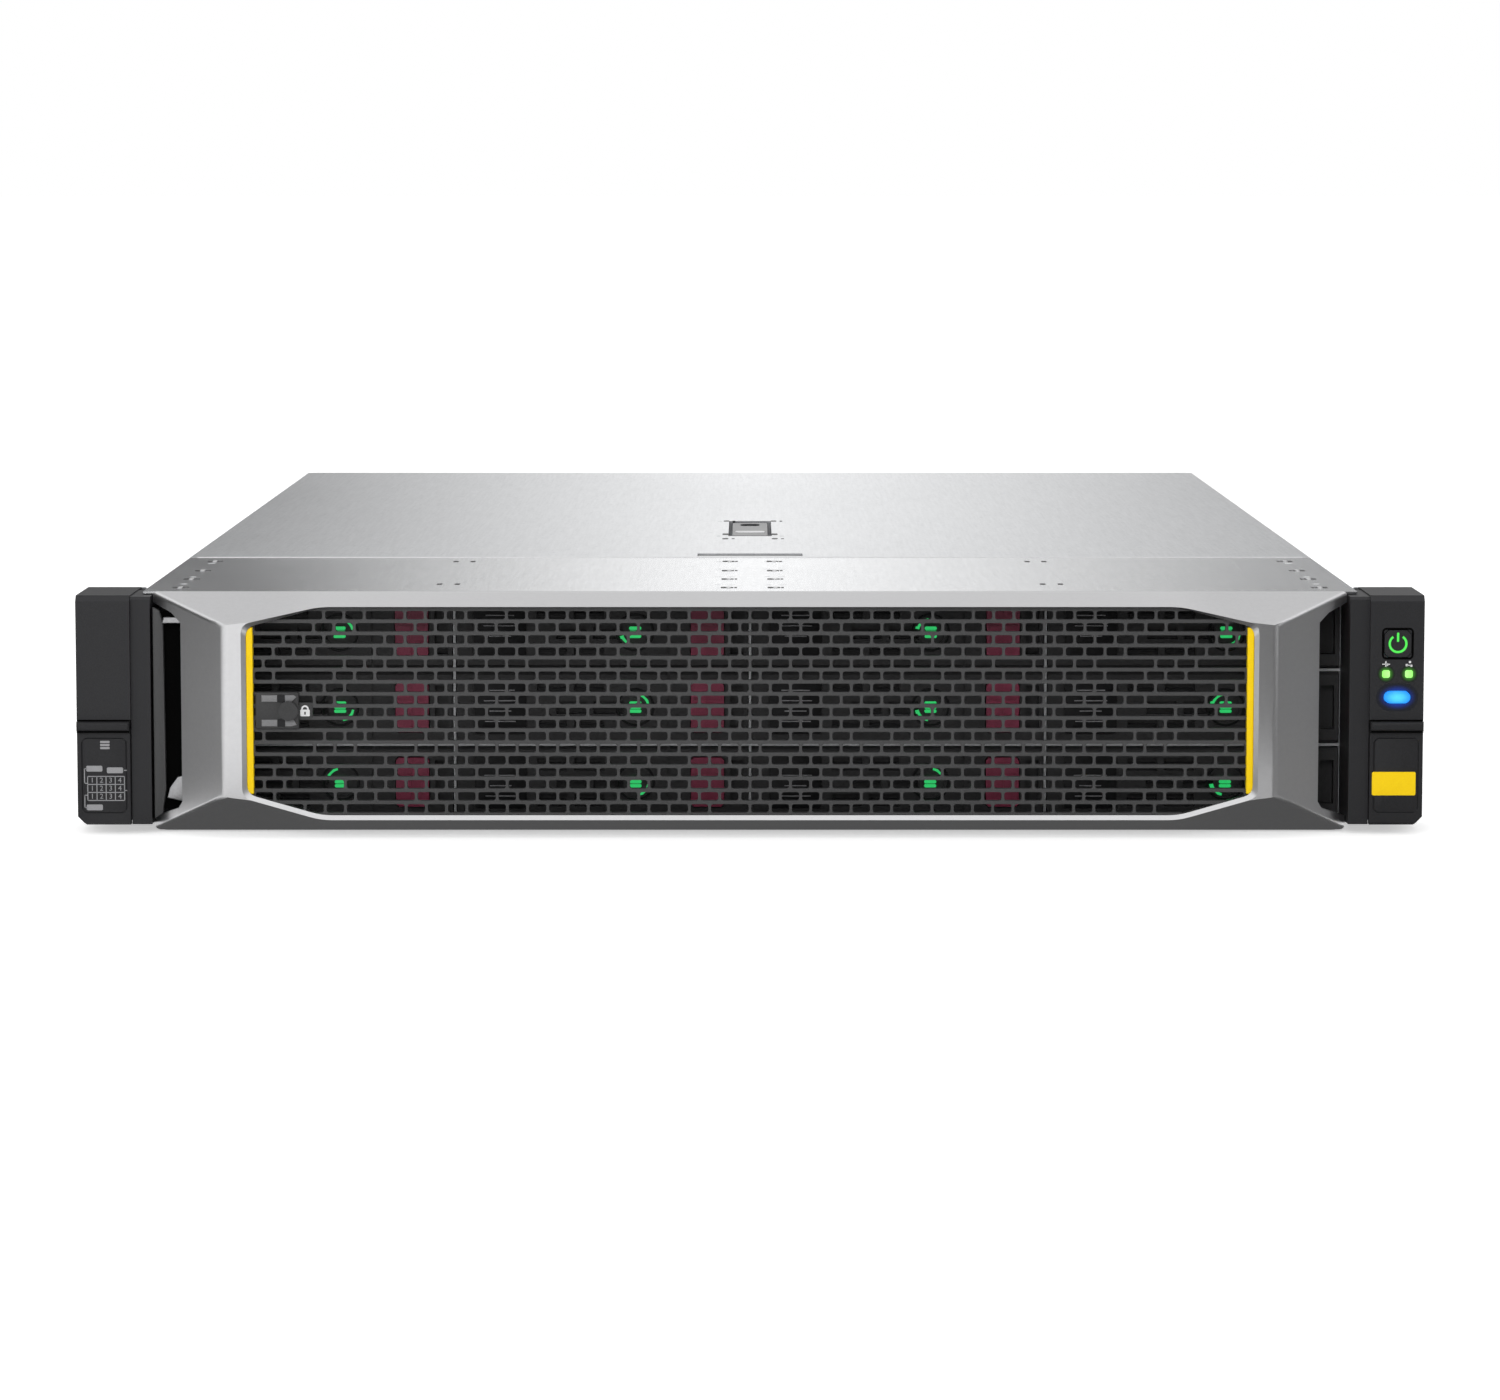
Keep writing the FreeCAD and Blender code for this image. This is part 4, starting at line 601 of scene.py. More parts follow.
def make_finishes():
    # One material for every finish on the object.
    colours = bpy.context.scene.server_colours
    for key, (name, shade, *settings) in PLAIN_FINISHES.items():
        if isinstance(shade, str):
            shade = getattr(colours, shade)
        FINISHES[key] = surface(name, shade, *settings)
    darker_ear = tinted(colours.ear, 0.85)[:3]
    FINISHES["lever"] = surface("lever_plastic", darker_ear, 0.0, 0.48, 0.14, 2400.0, 0.1, 0.22)
    FINISHES["steel"] = coated_steel("cover_steel", colours.steel, 0.31)
    FINISHES["front_steel"] = coated_steel("front_steel", colours.steel, 0.24)
    FINISHES["zinc"] = coated_steel("zinc_steel", (0.44, 0.45, 0.47), 0.42)
    FINISHES["supply"] = supply_finish("supply_steel", (0.34, 0.345, 0.36), (0.02, 0.02, 0.021))
    FINISHES["board"] = circuit_board("board_green")
    everywhere = ((0, 0, 0), (1, 1, 1))
    FINISHES["drive_light"] = glowing(
        "drive_light", colours.drive_light, (0.03, 0.60, 0.16), *everywhere, 0.88)
    FINISHES["power_light"] = glowing("power_light", (0.05, 0.62, 0.06), (0.1, 0.75, 0.1), *everywhere, 1.1)
    FINISHES["status_light"] = glowing(
        "status_light", (0.25, 0.9, 0.12), (0.6, 1.0, 0.4), box_middle("ear_lights"),
        (0.008, 0.008, 0.004), 1.1)
    FINISHES["ident_light"] = glowing(
        "ident_light", colours.ident_light, (0.16, 1.0, 0.94), box_middle("ident_button"),
        (0.0066, 0.006, 0.0036), 1.1)


def numbered(name, last):
    return ["%s_%d" % (name, number) for number in range(1, last + 1)]


NODE_FINISHES = {
    "steel": ["access_cover"],
    "front_steel": ["front_top_cover"],
    "zinc": ["chassis_tray", "rear_panel", "rack_flanges"],
    "cage": ["drive_cage", "riser_cages"],
    "latch": ["hood_latch"],
    "ear": ["ear_left", "ear_right", "power_button"],
    "lever": ["ear_lever_left", "ear_lever_right"],
    "silver": ["bezel_frame"],
    "grille": ["bezel_grille"],
    "accent": ["bezel_accents"],
    "key": ["bezel_key"],
    "status_light": ["ear_lights"],
    "ident_light": ["ident_button"],
    "board": ["system_board", "drive_backplane", "memory_modules"],
    "fins": ["cpu_heatsinks"],
    "dark": ["fan_cage", "air_baffle"] + numbered("fan_rotor", 6),
    "port": ["rear_ports"],
    "supply": numbered("psu", 2),
    "release": numbered("psu_release", 2) + numbered("drive_release", 12),
    "carrier": numbered("drive", 12),
}
# Width of the small edge rounding that each solid gets.
NODE_EDGES = {
    "ear_left": 0.0007, "ear_right": 0.0007, "ear_lever_left": 0.0005, "ear_lever_right": 0.0005,
    "power_button": 0.0004, "ident_button": 0.0004, "hood_latch": 0.0003, "access_cover": 0.00025,
    "front_top_cover": 0.00025, "rack_flanges": 0.0003, "bezel_accents": 0.0003, "bezel_key": 0.00025,
    "psu_1": 0.0004, "psu_2": 0.0004, "psu_release_1": 0.0005, "psu_release_2": 0.0005,
}


class SERVER_OT_node_finishes(bpy.types.Operator):
    """Give every solid of the frame its finish and its small edge rounding"""

    bl_idname = "server.node_finishes"
    bl_label = "Solid finishes"

    def execute(self, context):
        make_finishes()
        for finish, nodes in NODE_FINISHES.items():
            for node in nodes:
                slots = NODES[node].material_slots
                for slot in slots:
                    slot.material = FINISHES[finish]
                if not slots:
                    raise RuntimeError("solid without a material slot: " + node)
        for node, width in NODE_EDGES.items():
            self.soften(NODES[node], width)
        return {"FINISHED"}

    def soften(self, piece, width):
        # Joins a solid's loose triangles and rounds its edges, with its own mesh left as it is.
        add_modifier(piece, "WELD", merge_threshold=0.00001)
        add_modifier(piece, "DECIMATE", decimate_type="DISSOLVE", angle_limit=math.radians(0.5))
        add_modifier(
            piece, "BEVEL", width=width, segments=2, limit_method="ANGLE", angle_limit=math.radians(30))


# Bezel

# Height of the bezel's lower edge, and depth of its rear edge behind the ear fronts.
BEZEL_FOOT = 0.0006
BEZEL_BACK = 0.0075
# How far the bars' outer corners lie beyond the opening's sides, and depth of the straight part of its edge.
BAR_CORNER = 0.0009
MOUTH_DEPTH = 0.0012
# Steps from the front of the bezel to its rear edge, along each sloped corner of the opening, and across
# each rounded fold.
FACE_STEPS = 5
SLOPE_STEPS = 6
FOLD_STEPS = 5
# Part of the wall's thickness that is left round the opening, and the steps in which it grows.
THIN_WALL = 0.2
WALL_STEPS = 5
# Distance within which a point counts as lying on a fold, and within which the shell's points are joined.
FOLD_REACH = 0.0002
SHELL_MERGE = 0.00005
# Steps of the soft turn at each corner of the opening; four turns on the right, then four on the left.
TURN_STEPS = 4
TURN_POINTS = TURN_STEPS + 1
LOOP_POINTS = 8 * TURN_POINTS


def soft_turn(before, corner, after, cut):
    # Points of a rounded corner, from a cut before it to the same cut after it.
    start = corner + (before - corner).normalized() * cut
    end = corner + (after - corner).normalized() * cut
    points = []
    for step in range(TURN_POINTS):
        share = step / TURN_STEPS
        points.append(tuple(start.lerp(corner, share).lerp(corner.lerp(end, share), share)))
    return points


def window_points(grow):
    # The opening's outline with soft corners, moved outwards, less so at the top.
    top_share = 0.3
    size = sizes()
    slope = math.atan2(size.corner_fall, size.window_half - size.window_flat)
    half = size.window_half + grow
    flat = size.window_flat + grow * math.tan(slope / 2)
    low = size.window_low - grow
    high = size.window_high - size.grille_drop + grow * top_share
    fall = size.corner_fall - grow * math.tan((math.pi / 2 - slope) / 2)
    corners = [
        (-flat, low), (flat, low), (half, size.window_low + fall), (half, size.window_high - fall),
        (flat, high), (-flat, high),
    ]
    corners = [Vector(corner) for corner in corners]
    right = []
    for index, cut in enumerate((size.flat_round, size.side_round, size.side_round, size.flat_round)):
        right += soft_turn(*corners[index:index + 3], cut)
    return right + [(-x, z) for x, z in reversed(right)]


def between(first, second, share):
    return [tuple(Vector(start).lerp(Vector(end), share)) for start, end in zip(first, second)]


def with_slopes(loop):
    # Adds points along the four sloped corners of a loop, so that the twisted faces there stay smooth.
    dense = []
    for index, place in enumerate(loop):
        dense.append(place)
        if index % (2 * TURN_POINTS) == TURN_STEPS:
            for step in range(1, SLOPE_STEPS):
                dense += between([place], [loop[index + 1]], step / SLOPE_STEPS)
    return dense


def bezel_corners():
    # The bar's four outer corners on the front, each with the tip it folds towards.
    size = sizes()
    low = size.window_low + size.corner_fall - BAR_CORNER
    high = size.window_high - size.corner_fall + BAR_CORNER
    pairs = []
    for side in (1, -1):
        for height, tip in ((low, BEZEL_FOOT), (high, BEZEL_HIGH_CORNER.z)):
            corner = Vector((side * size.bar_edge, BEZEL_LOW_CORNER.y, height))
            pairs.append((corner, Vector((side * BEZEL_HIGH_CORNER.x, depth(BEZEL_BACK), tip))))
    return pairs


def side_turns():
    # Places in a loop of the turns beside the bars, each from its slope to its bar, as in bezel_corners.
    low = [TURN_POINTS + step for step in range(TURN_POINTS)]
    high = [3 * TURN_POINTS - 1 - step for step in range(TURN_POINTS)]
    mirrored = [[LOOP_POINTS - 1 - index for index in turn] for turn in (low, high)]
    return [low, high] + mirrored


def bezel_loops():
    # Edge loops of the bezel's face from the grille outwards to its rear edge.
    size = sizes()
    front = BEZEL_LOW_CORNER.y - EAR_FRONT
    middle_z = (size.window_low + size.window_high) / 2
    mouth = at_depth(window_points(size.window_bevel), front)
    rim = list(mouth)
    tips = {}
    for turn, (corner, tip) in zip(side_turns(), bezel_corners()):
        start = Vector(mouth[turn[0]])
        back = Vector((start.x, tip.y, tip.z))
        for step, index in enumerate(turn):
            rim[index] = tuple(start.lerp(corner, step / TURN_STEPS))
            tips[index] = tuple(back.lerp(tip, step / TURN_STEPS))
    edge = []
    for index, (x, y, z) in enumerate(rim):
        height = BEZEL_FOOT if z < middle_z else BEZEL_HIGH_CORNER.z
        edge.append(tips.get(index, (x, depth(BEZEL_BACK), height)))
    inner = window_points(0)
    loops = [
        at_depth(inner, size.grille_front + size.grille_thick), at_depth(inner, front + MOUTH_DEPTH),
        mouth, rim,
    ]
    for step in range(1, FACE_STEPS + 1):
        loops.append(between(rim, edge, step / FACE_STEPS))
    return [with_slopes(loop) for loop in loops]


def notch_cutter(side):
    # Block for the gap between a wing and its ear, with sloped ends.
    inner = BEZEL_HIGH_CORNER.x - 0.0105
    outer = BEZEL_HIGH_CORNER.x + 0.002
    low = 0.0064
    high = BEZEL_HIGH_CORNER.z - 0.0057
    outline = [
        (inner, low + 0.0052), (inner + 0.0015, low + 0.0028), (outer, low - 0.0015),
        (outer, high + 0.0026), (inner + 0.0035, high - 0.0016), (inner, high - 0.005),
    ]
    return new_prism("notch_cutter", [(side * x, z) for x, z in outline], -0.013, 0.012)


class SERVER_OT_bezel_shell(bpy.types.Operator):
    """Model the silver bezel: sloped bars and wings with soft folds, open at the ends"""

    bl_idname = "server.bezel_shell"
    bl_label = "Bezel shell"

    def execute(self, context):
        size = sizes()
        shell = loft("bezel_shell", bezel_loops())
        merge(shell, SHELL_MERGE)
        bevel_edges(shell, size.fold_round, FOLD_STEPS, self.on_fold)
        self.weigh_wall(shell)
        apply_modifier(
            shell, "SOLIDIFY", thickness=size.shell_wall, offset=-1.0, use_even_offset=True,
            vertex_group="wall", thickness_vertex_group=THIN_WALL)
        for side in (1, -1):
            cut_away(shell, notch_cutter(side))
        apply_modifier(
            shell, "BEVEL", width=0.0003, segments=2, limit_method="ANGLE", angle_limit=math.radians(40))
        finish_piece(shell, "bezel", "silver", 30)
        apply_modifier(shell, "WEIGHTED_NORMAL", keep_sharp=True, weight=90)
        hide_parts("bezel_frame")
        return {"FINISHED"}

    def on_fold(self, one, other):
        # Whether an edge lies on one of the four sloped folds or on a bar's outer edge.
        def on_line(place, start, end):
            along = (place - start).dot(end - start) / (end - start).length_squared
            nearest = start.lerp(end, min(1.0, max(0.0, along)))
            return (place - nearest).length < FOLD_REACH

        def on_bar(place):
            beside = abs(abs(place.x) - sizes().bar_edge) < FOLD_REACH
            return beside and abs(place.y - BEZEL_LOW_CORNER.y) < FOLD_REACH

        for corner, tip in bezel_corners():
            if on_line(one, corner, tip) and on_line(other, corner, tip):
                return True
        return on_bar(one) and on_bar(other)

    def weigh_wall(self, shell):
        # Weights for the wall: thin round the opening, growing to its full thickness at the rear edge.
        front = BEZEL_LOW_CORNER.y
        reach = depth(BEZEL_BACK) - front
        slack = 0.0001
        mouth = window_points(sizes().window_bevel)
        half = max(x for x, z in mouth) + slack
        low = min(z for x, z in mouth) - slack
        high = max(z for x, z in mouth) + slack

        def share(place):
            if abs(place.x) < half and low < place.z < high:
                return 0
            return round((place.y - front) / reach * WALL_STEPS)

        take(shell)
        bpy.ops.object.vertex_group_add()
        shell.vertex_groups.active.name = "wall"
        for step in range(WALL_STEPS + 1):
            edit(shell, "VERT")
            pick(shell, "verts", lambda point: share(point.co) == step)
            bpy.context.scene.tool_settings.vertex_group_weight = step / WALL_STEPS
            bpy.ops.object.vertex_group_assign()
            let_go()


# Grille

# Rounding at the corners of each hole in the grille, and the steps that it takes.
HOLE_ROUND = 0.0008
HOLE_STEPS = 3
# Distance within which the points of neighbouring holes are joined.
GRILLE_MERGE = 0.00002
# Number of webs near each end among which many are missing, and the part of a row's height in which the
# middle of a web's face lies, from the middle of the row.
END_WEBS = 7
WEB_REACH = 0.3


class SERVER_OT_brick_grille(bpy.types.Operator):
    """Model the grille of bricks: one rounded hole, repeated in rows with a half step between them"""

    bl_idname = "server.brick_grille"
    bl_label = "Brick grille"

    def execute(self, context):
        size = sizes()
        self.half = size.window_half - size.accent_width
        self.pitch_x = 2 * self.half / size.brick_columns
        self.pitch_z = (size.window_high - size.window_low - size.row_web) / size.brick_rows
        self.foot = size.window_low + size.row_web / 2 - size.grille_drop
        bricks = []
        for outline in self.brick_outlines():
            points = [(x - self.half, z + self.foot + self.pitch_z / 2) for x, z in outline]
            bricks.append(new_outline("brick", points, size.grille_front))
        grille = join_pieces(bricks, "brick_grille")
        repeat(grille, size.brick_columns + 1, (self.pitch_x, 0, 0))
        edit(grille, "FACE", "SELECT")
        bpy.ops.mesh.duplicate_move(TRANSFORM_OT_translate={"value": (self.pitch_x / 2, 0, self.pitch_z)})
        let_go()
        repeat(grille, (size.brick_rows + 1) // 2, (0, 0, 2 * self.pitch_z))
        merge(grille, GRILLE_MERGE)
        edit(grille, "FACE")
        pick(grille, "faces", lambda face: self.on_missing_web(face.calc_center_median()))
        bpy.ops.mesh.delete(type="FACE")
        self.trim(grille)
        apply_modifier(grille, "SOLIDIFY", thickness=size.grille_thick, offset=-1.0)
        finish_piece(grille, "bezel", "grille")
        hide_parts("bezel_grille")
        return {"FINISHED"}

    def brick_outlines(self):
        # One hole's share of the grille: half a row web above and below it, half an upright on each side.
        size = sizes()
        half_x = self.pitch_x / 2
        half_z = self.pitch_z / 2
        hole_z = half_z - size.row_web / 2
        turn_x = half_x - size.upright_web / 2 - HOLE_ROUND
        turn_z = hole_z - HOLE_ROUND
        row = [
            (-half_x, hole_z), (-turn_x, hole_z), (turn_x, hole_z), (half_x, hole_z),
            (half_x, half_z), (0, half_z), (-half_x, half_z),
        ]
        turn = []
        for step in range(HOLE_STEPS + 1):
            angle = math.pi / 2 * (1 - step / HOLE_STEPS)
            turn.append((turn_x + HOLE_ROUND * math.cos(angle), turn_z + HOLE_ROUND * math.sin(angle)))
        low_turn = [(x, -z) for x, z in reversed(turn)]
        upright = [(half_x, -hole_z), (half_x, hole_z)] + turn + low_turn
        low_row = [(x, -z) for x, z in reversed(row)]
        return [row, low_row, upright, [(-x, z) for x, z in reversed(upright)]]

    def on_missing_web(self, middle):
        # Near both ends many upright webs are missing, and a few elsewhere, which makes long slots.
        size = sizes()
        height = (middle.z - self.foot) / self.pitch_z
        row = int(height)
        step = (middle.x + self.half - (row % 2) * self.pitch_x / 2) / self.pitch_x - 0.5
        web = round(step)
        beside = abs(step - web) * self.pitch_x > size.upright_web / 2 + HOLE_ROUND
        if beside or abs(height - row - 0.5) > WEB_REACH:
            return False
        if min(web, size.brick_columns - 1 - web) < END_WEBS:
            return (web * 2 + row * 3) % 5 in (0, 2)
        return (web * 7 + row * 11) % 23 == 0

    def trim(self, grille):
        # Cuts the field of holes along the edges of the opening.
        points = window_points(0)
        middle = Vector((0, 0, (sizes().window_low + sizes().window_high) / 2))
        cuts = []
        for (x0, z0), (x1, z1) in zip(points, points[1:] + points[:1]):
            outwards = Vector((z1 - z0, 0, x0 - x1))
            place = Vector((x0, depth(0), z0))
            if outwards.dot(place - middle) < 0:
                outwards = -outwards
            cuts.append((place, outwards))
        for side in (1, -1):
            cuts.append((Vector((side * self.half, 0, 0)), Vector((side, 0, 0))))
        for place, outwards in cuts:
            if outwards.length > TINY:
                edit(grille, "FACE", "SELECT")
                bpy.ops.mesh.bisect(
                    plane_co=place, plane_no=outwards.normalized(), clear_outer=True, threshold=TINY)
        let_go()


# Ears

# Front and rear depth of the thin print on the ears.
PRINT_NEAR = 0.00006
PRINT_FAR = 0.0003


class SERVER_OT_lever_panels(bpy.types.Operator):
    """Model each lever's lip and inset panel, and black strips of painted shade above and under the lip"""

    bl_idname = "server.lever_panels"
    bl_label = "Lever lips and panels"

    def execute(self, context):
        lip_front = -0.0024
        shadow_inset = 0.0001
        shadow_tall = 0.0007
        low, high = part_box("ear_lever_right")
        for side, x0, x1 in (("right", low.x, high.x), ("left", -high.x, -low.x)):
            body = "lever_" + side
            lip = plate("lever_lip_" + side, (x0, x1), (high.z - 0.0031, high.z + 0.0002), lip_front, 0.001)
            bevel_front(lip, 0.0012, lip_front + 0.0001, segments=5)
            finish_piece(lip, body, "lever")
            # Black strips of painted shade: one in the gap above the lip, one under the lip where its shadow
            # falls.
            shadow_strips = []
            for z, near in ((high.z + 0.0001, -0.00025), (high.z - 0.0038, -0.0013)):
                shadow_strips.append(plate(
                    "gap", (x0 + shadow_inset, x1 - shadow_inset), (z, z + shadow_tall), near, 0.0024, corner=0.0001))
            finish_piece(join_pieces(shadow_strips, "lever_shadow_" + side), body, "liner")
            panel = plate(
                "lever_panel_" + side, (x0 + 0.0019, x1 - 0.0017), (low.z + 0.0046, low.z + 0.0311),
                0.00012, 0.0011, corner=0.0016, edge=0.0001)
            finish_piece(panel, body, "lever")
        return {"FINISHED"}


class SERVER_OT_bay_map(bpy.types.Operator):
    """Model the printed map of bay numbers on the left lever"""

    bl_idname = "server.bay_map"
    bl_label = "Bay map"

    def execute(self, context):
        columns = 4
        rows = 3
        cell_x = 0.0033
        cell_z = 0.0029
        line = 0.00032
        figure_size = 0.0026
        left = -0.2378
        low = 0.0119
        parts = []

        def mark(x, z, wide, tall, corner=0.0):
            # One printed mark, placed from the grid's lower left corner.
            x += left
            z += low
            parts.append(plate("mark", (x, x + wide), (z, z + tall), PRINT_NEAR, PRINT_FAR, corner))

        for column in range(columns + 1):
            mark(column * cell_x, 0, line, rows * cell_z + line)
        for row in range(rows + 1):
            mark(0, row * cell_z, columns * cell_x + line, line)
        for row in range(rows):
            for column in range(columns):
                middle = (left + (column + 0.5) * cell_x + line / 2, low + (row + 0.5) * cell_z + line / 2)
                parts.append(figure(str(column + 1), figure_size, middle, PRINT_NEAR))
        # Three blank tags round the grid, joined to it by brackets, and a small drive sign above.
        for x, z in ((-0.0003, 0.0106), (0.0071, 0.0100), (-0.0003, -0.0034)):
            mark(x, z, 0.0058, 0.0021, corner=0.0005)
        bracket = 0.0011
        for x, z, top in ((-bracket, 0.0062, 0.0118), (-bracket, -0.0026, 0.0022), (0.0144, 0.0036, 0.0112)):
            mark(x, z, line, top - z)
        for z in (0.0062, 0.0115, -0.0026, 0.0019):
            mark(-bracket, z, bracket, line)
        for z in (0.0036, 0.0109):
            mark(0.0132, z, 0.0012, line)
        for step in range(3):
            mark(0.0048, 0.0187 + step * 0.0011, 0.0034, 0.0008, corner=0.0002)
        finish_piece(join_pieces(parts, "bay_map"), "lever_left", "grey_print", 0)
        return {"FINISHED"}


class SERVER_OT_lever_label(bpy.types.Operator):
    """Model the plain coloured label on the right lever"""

    bl_idname = "server.lever_label"
    bl_label = "Plain label"

    def execute(self, context):
        label = plate(
            "lever_label", (0.2231, 0.2388), (0.0139, 0.0224), -0.0001, 0.0008, corner=0.0006, edge=0.0001)
        finish_piece(label, "lever_right", "accent")
        return {"FINISHED"}


class SERVER_OT_ear_signs(bpy.types.Operator):
    """Model the lit power sign, the signs over the lights and the glow round the blue button"""

    bl_idname = "server.ear_signs"
    bl_label = "Ear signs"

    def execute(self, context):
        x, y, z = box_middle("power_button")
        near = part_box("power_button")[0].y - EAR_FRONT - 0.00002
        far = near + 0.0004
        ring = arc_band("power_ring", (x, z), 0.0026, 0.0034, 125, 290, near, far)
        bar = plate(
            "power_bar", (x - 0.0004, x + 0.0004), (z + 0.0007, z + 0.0040), near, far, corner=0.00025)
        finish_piece(join_pieces([ring, bar], "power_sign"), "power", "power_light")
        self.light_signs()
        self.button_glow()
        return {"FINISHED"}

    def light_signs(self):
        # A pulse over the left light and three linked dots over the right one.
        dot = 0.0004
        near = -0.00005
        far = 0.0002
        low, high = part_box("ear_lights")
        z = high.z + 0.0021
        left = low.x + 0.0014
        right = high.x - 0.0014
        strokes = (
            (left - 0.0014, left + 0.0014, -0.00016, 0.00016),
            (left - 0.0003, left + 0.0001, -0.0009, 0.0011),
            (left + 0.0004, left + 0.0007, -0.0006, 0.0003),
            (right - 0.0008, right + 0.0008, -0.0005, -0.00025),
        )
        parts = []
        for x0, x1, z0, z1 in strokes:
            parts.append(plate("stroke", (x0, x1), (z + z0, z + z1), near, far))
        for x, rise in ((-0.0008, -0.0003), (0.0008, -0.0005), (0.0003, 0.0008)):
            parts.append(patch("dot", (right + x, z + rise), dot, dot, near, far, corner=dot / 2))
        finish_piece(join_pieces(parts, "light_signs"), "chassis", "print", 0)

    def button_glow(self):
        # Soft light on the ear round the blue button and the two green lights, and painted shade for the
        # power button's gap.
        low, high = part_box("ident_button")
        self.halo(
            "ident_halo", "light_blue", low, high, 0.0028, (0.010, 0.011, 0.016), (0.0, 0.10, 1.0),
            (0.0076, 0.006, 0.0051))
        low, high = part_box("ear_lights")
        height = high.z - low.z
        for name, x in (("left", low.x), ("right", high.x - height)):
            self.halo(
                "light_halo_" + name, "light_green", Vector((x, low.y, low.z)),
                Vector((x + height, high.y, high.z)), 0.0017, (0.010, 0.012, 0.010), (0.10, 0.55, 0.03),
                (0.0031, 0.006, 0.0031))
        # A black band of painted shade where the power button's gap is.
        gap_shade = self.band("power_frame", *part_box("power_button"), 0.0009, 0.0016)
        finish_piece(gap_shade, "chassis", "liner", 0)

    def band(self, name, low, high, reach, corner):
        # A flat band on the ear's face round the box between two corners.
        gap = 0.00015
        outer = plate(
            name, (low.x - reach, high.x + reach), (low.z - reach, high.z + reach), -0.00004, 0.0004, corner)
        hole = plate(
            "hole", (low.x - gap, high.x + gap), (low.z - gap, high.z + gap), -0.002, 0.002,
            max(0.0002, corner - reach))
        cut_away(outer, hole)
        return outer

    def halo(self, name, slot, low, high, reach, rim, core, fade):
        # A band that glows with a core colour fading to a rim colour.
        corner = min(high.x - low.x, high.z - low.z) / 2 + reach - 0.0001
        FINISHES[name] = glowing(name + "_light", rim, core, (low + high) / 2, fade, 0.99)
        finish_piece(self.band(name, low, high, reach, corner), "chassis", name, 0)


# Lock and hooks of the bezel


class SERVER_OT_lock_plate(bpy.types.Operator):
    """Model the lock plate on the grille, its two grips and the padlock sign"""

    bl_idname = "server.lock_plate"
    bl_label = "Lock plate"

    def execute(self, context):
        size = sizes()
        low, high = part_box("bezel_key")
        face = low.y - EAR_FRONT
        z = (low.z + high.z) / 2
        radius = (high.z - low.z) / 2
        left = -size.window_half + 0.0032
        right = left + 0.0155
        behind = size.grille_front + size.grille_thick
        base = plate(
            "lock_plate", (left, right), (z - 0.0066, z + 0.0066), face, behind, corner=0.0006, edge=0.0004)
        tab = plate(
            "lock_tab", (right - 0.001, right + 0.0048), (z - 0.0030, z + 0.0028),
            size.grille_front - 0.0002, behind - 0.0002, corner=0.0006)
        base = join_pieces([base, tab], "lock_plate")
        hole = new_rod(
            "barrel_hole", 32, radius + 0.00005, (high.x - radius, depth(face) - 0.002, z), math.pi / 2,
            (0, 0.02, 0))
        cut_away(base, hole)
        finish_piece(base, "bezel", "carrier")
        self.grips(left + 0.0022, z, face)
        self.padlock(right + 0.0021, z - 0.0001)
        return {"FINISHED"}

    def grips(self, start, middle_z, face):
        # Two grey strips above and below the barrel, each with a dark square inlay.
        end = start + 0.0125
        half = 0.0012
        for name, side in (("upper", 1), ("lower", -1)):
            z = middle_z + side * 0.0044
            outline = [
                (start, z - half), (end - 0.0018, z - half), (end, z - 0.0001 + side * half / 2),
                (end - 0.0010, z + half), (start, z + half),
            ]
            strip = new_prism("lock_grip_" + name, outline, face - 0.0004, face + 0.0006)
            bevel_front(strip, 0.0002, face - 0.0003)
            finish_piece(strip, "bezel", "grip")
            inlay = patch(
                "lock_inlay_" + name, (start + 0.0070, z), 0.0014, 0.0013, face - 0.0005, face + 0.0005,
                corner=0.0003)
            finish_piece(inlay, "bezel", "panel")

    def padlock(self, x, z):
        near = sizes().grille_front - 0.0003
        far = near + 0.0003
        box = plate(
            "padlock_box", (x - 0.0017, x + 0.0017), (z - 0.0020, z + 0.0004), near, far, corner=0.0003)
        bow = arc_band("padlock_bow", (x, z + 0.0006), 0.00075, 0.00135, -10, 200, near, far)
        cut_away(box, patch("padlock_slot", (x, z - 0.0009), 0.0003, 0.0005, near - 0.001, far + 0.001))
        finish_piece(join_pieces([box, bow], "padlock_sign"), "bezel", "print", 0)


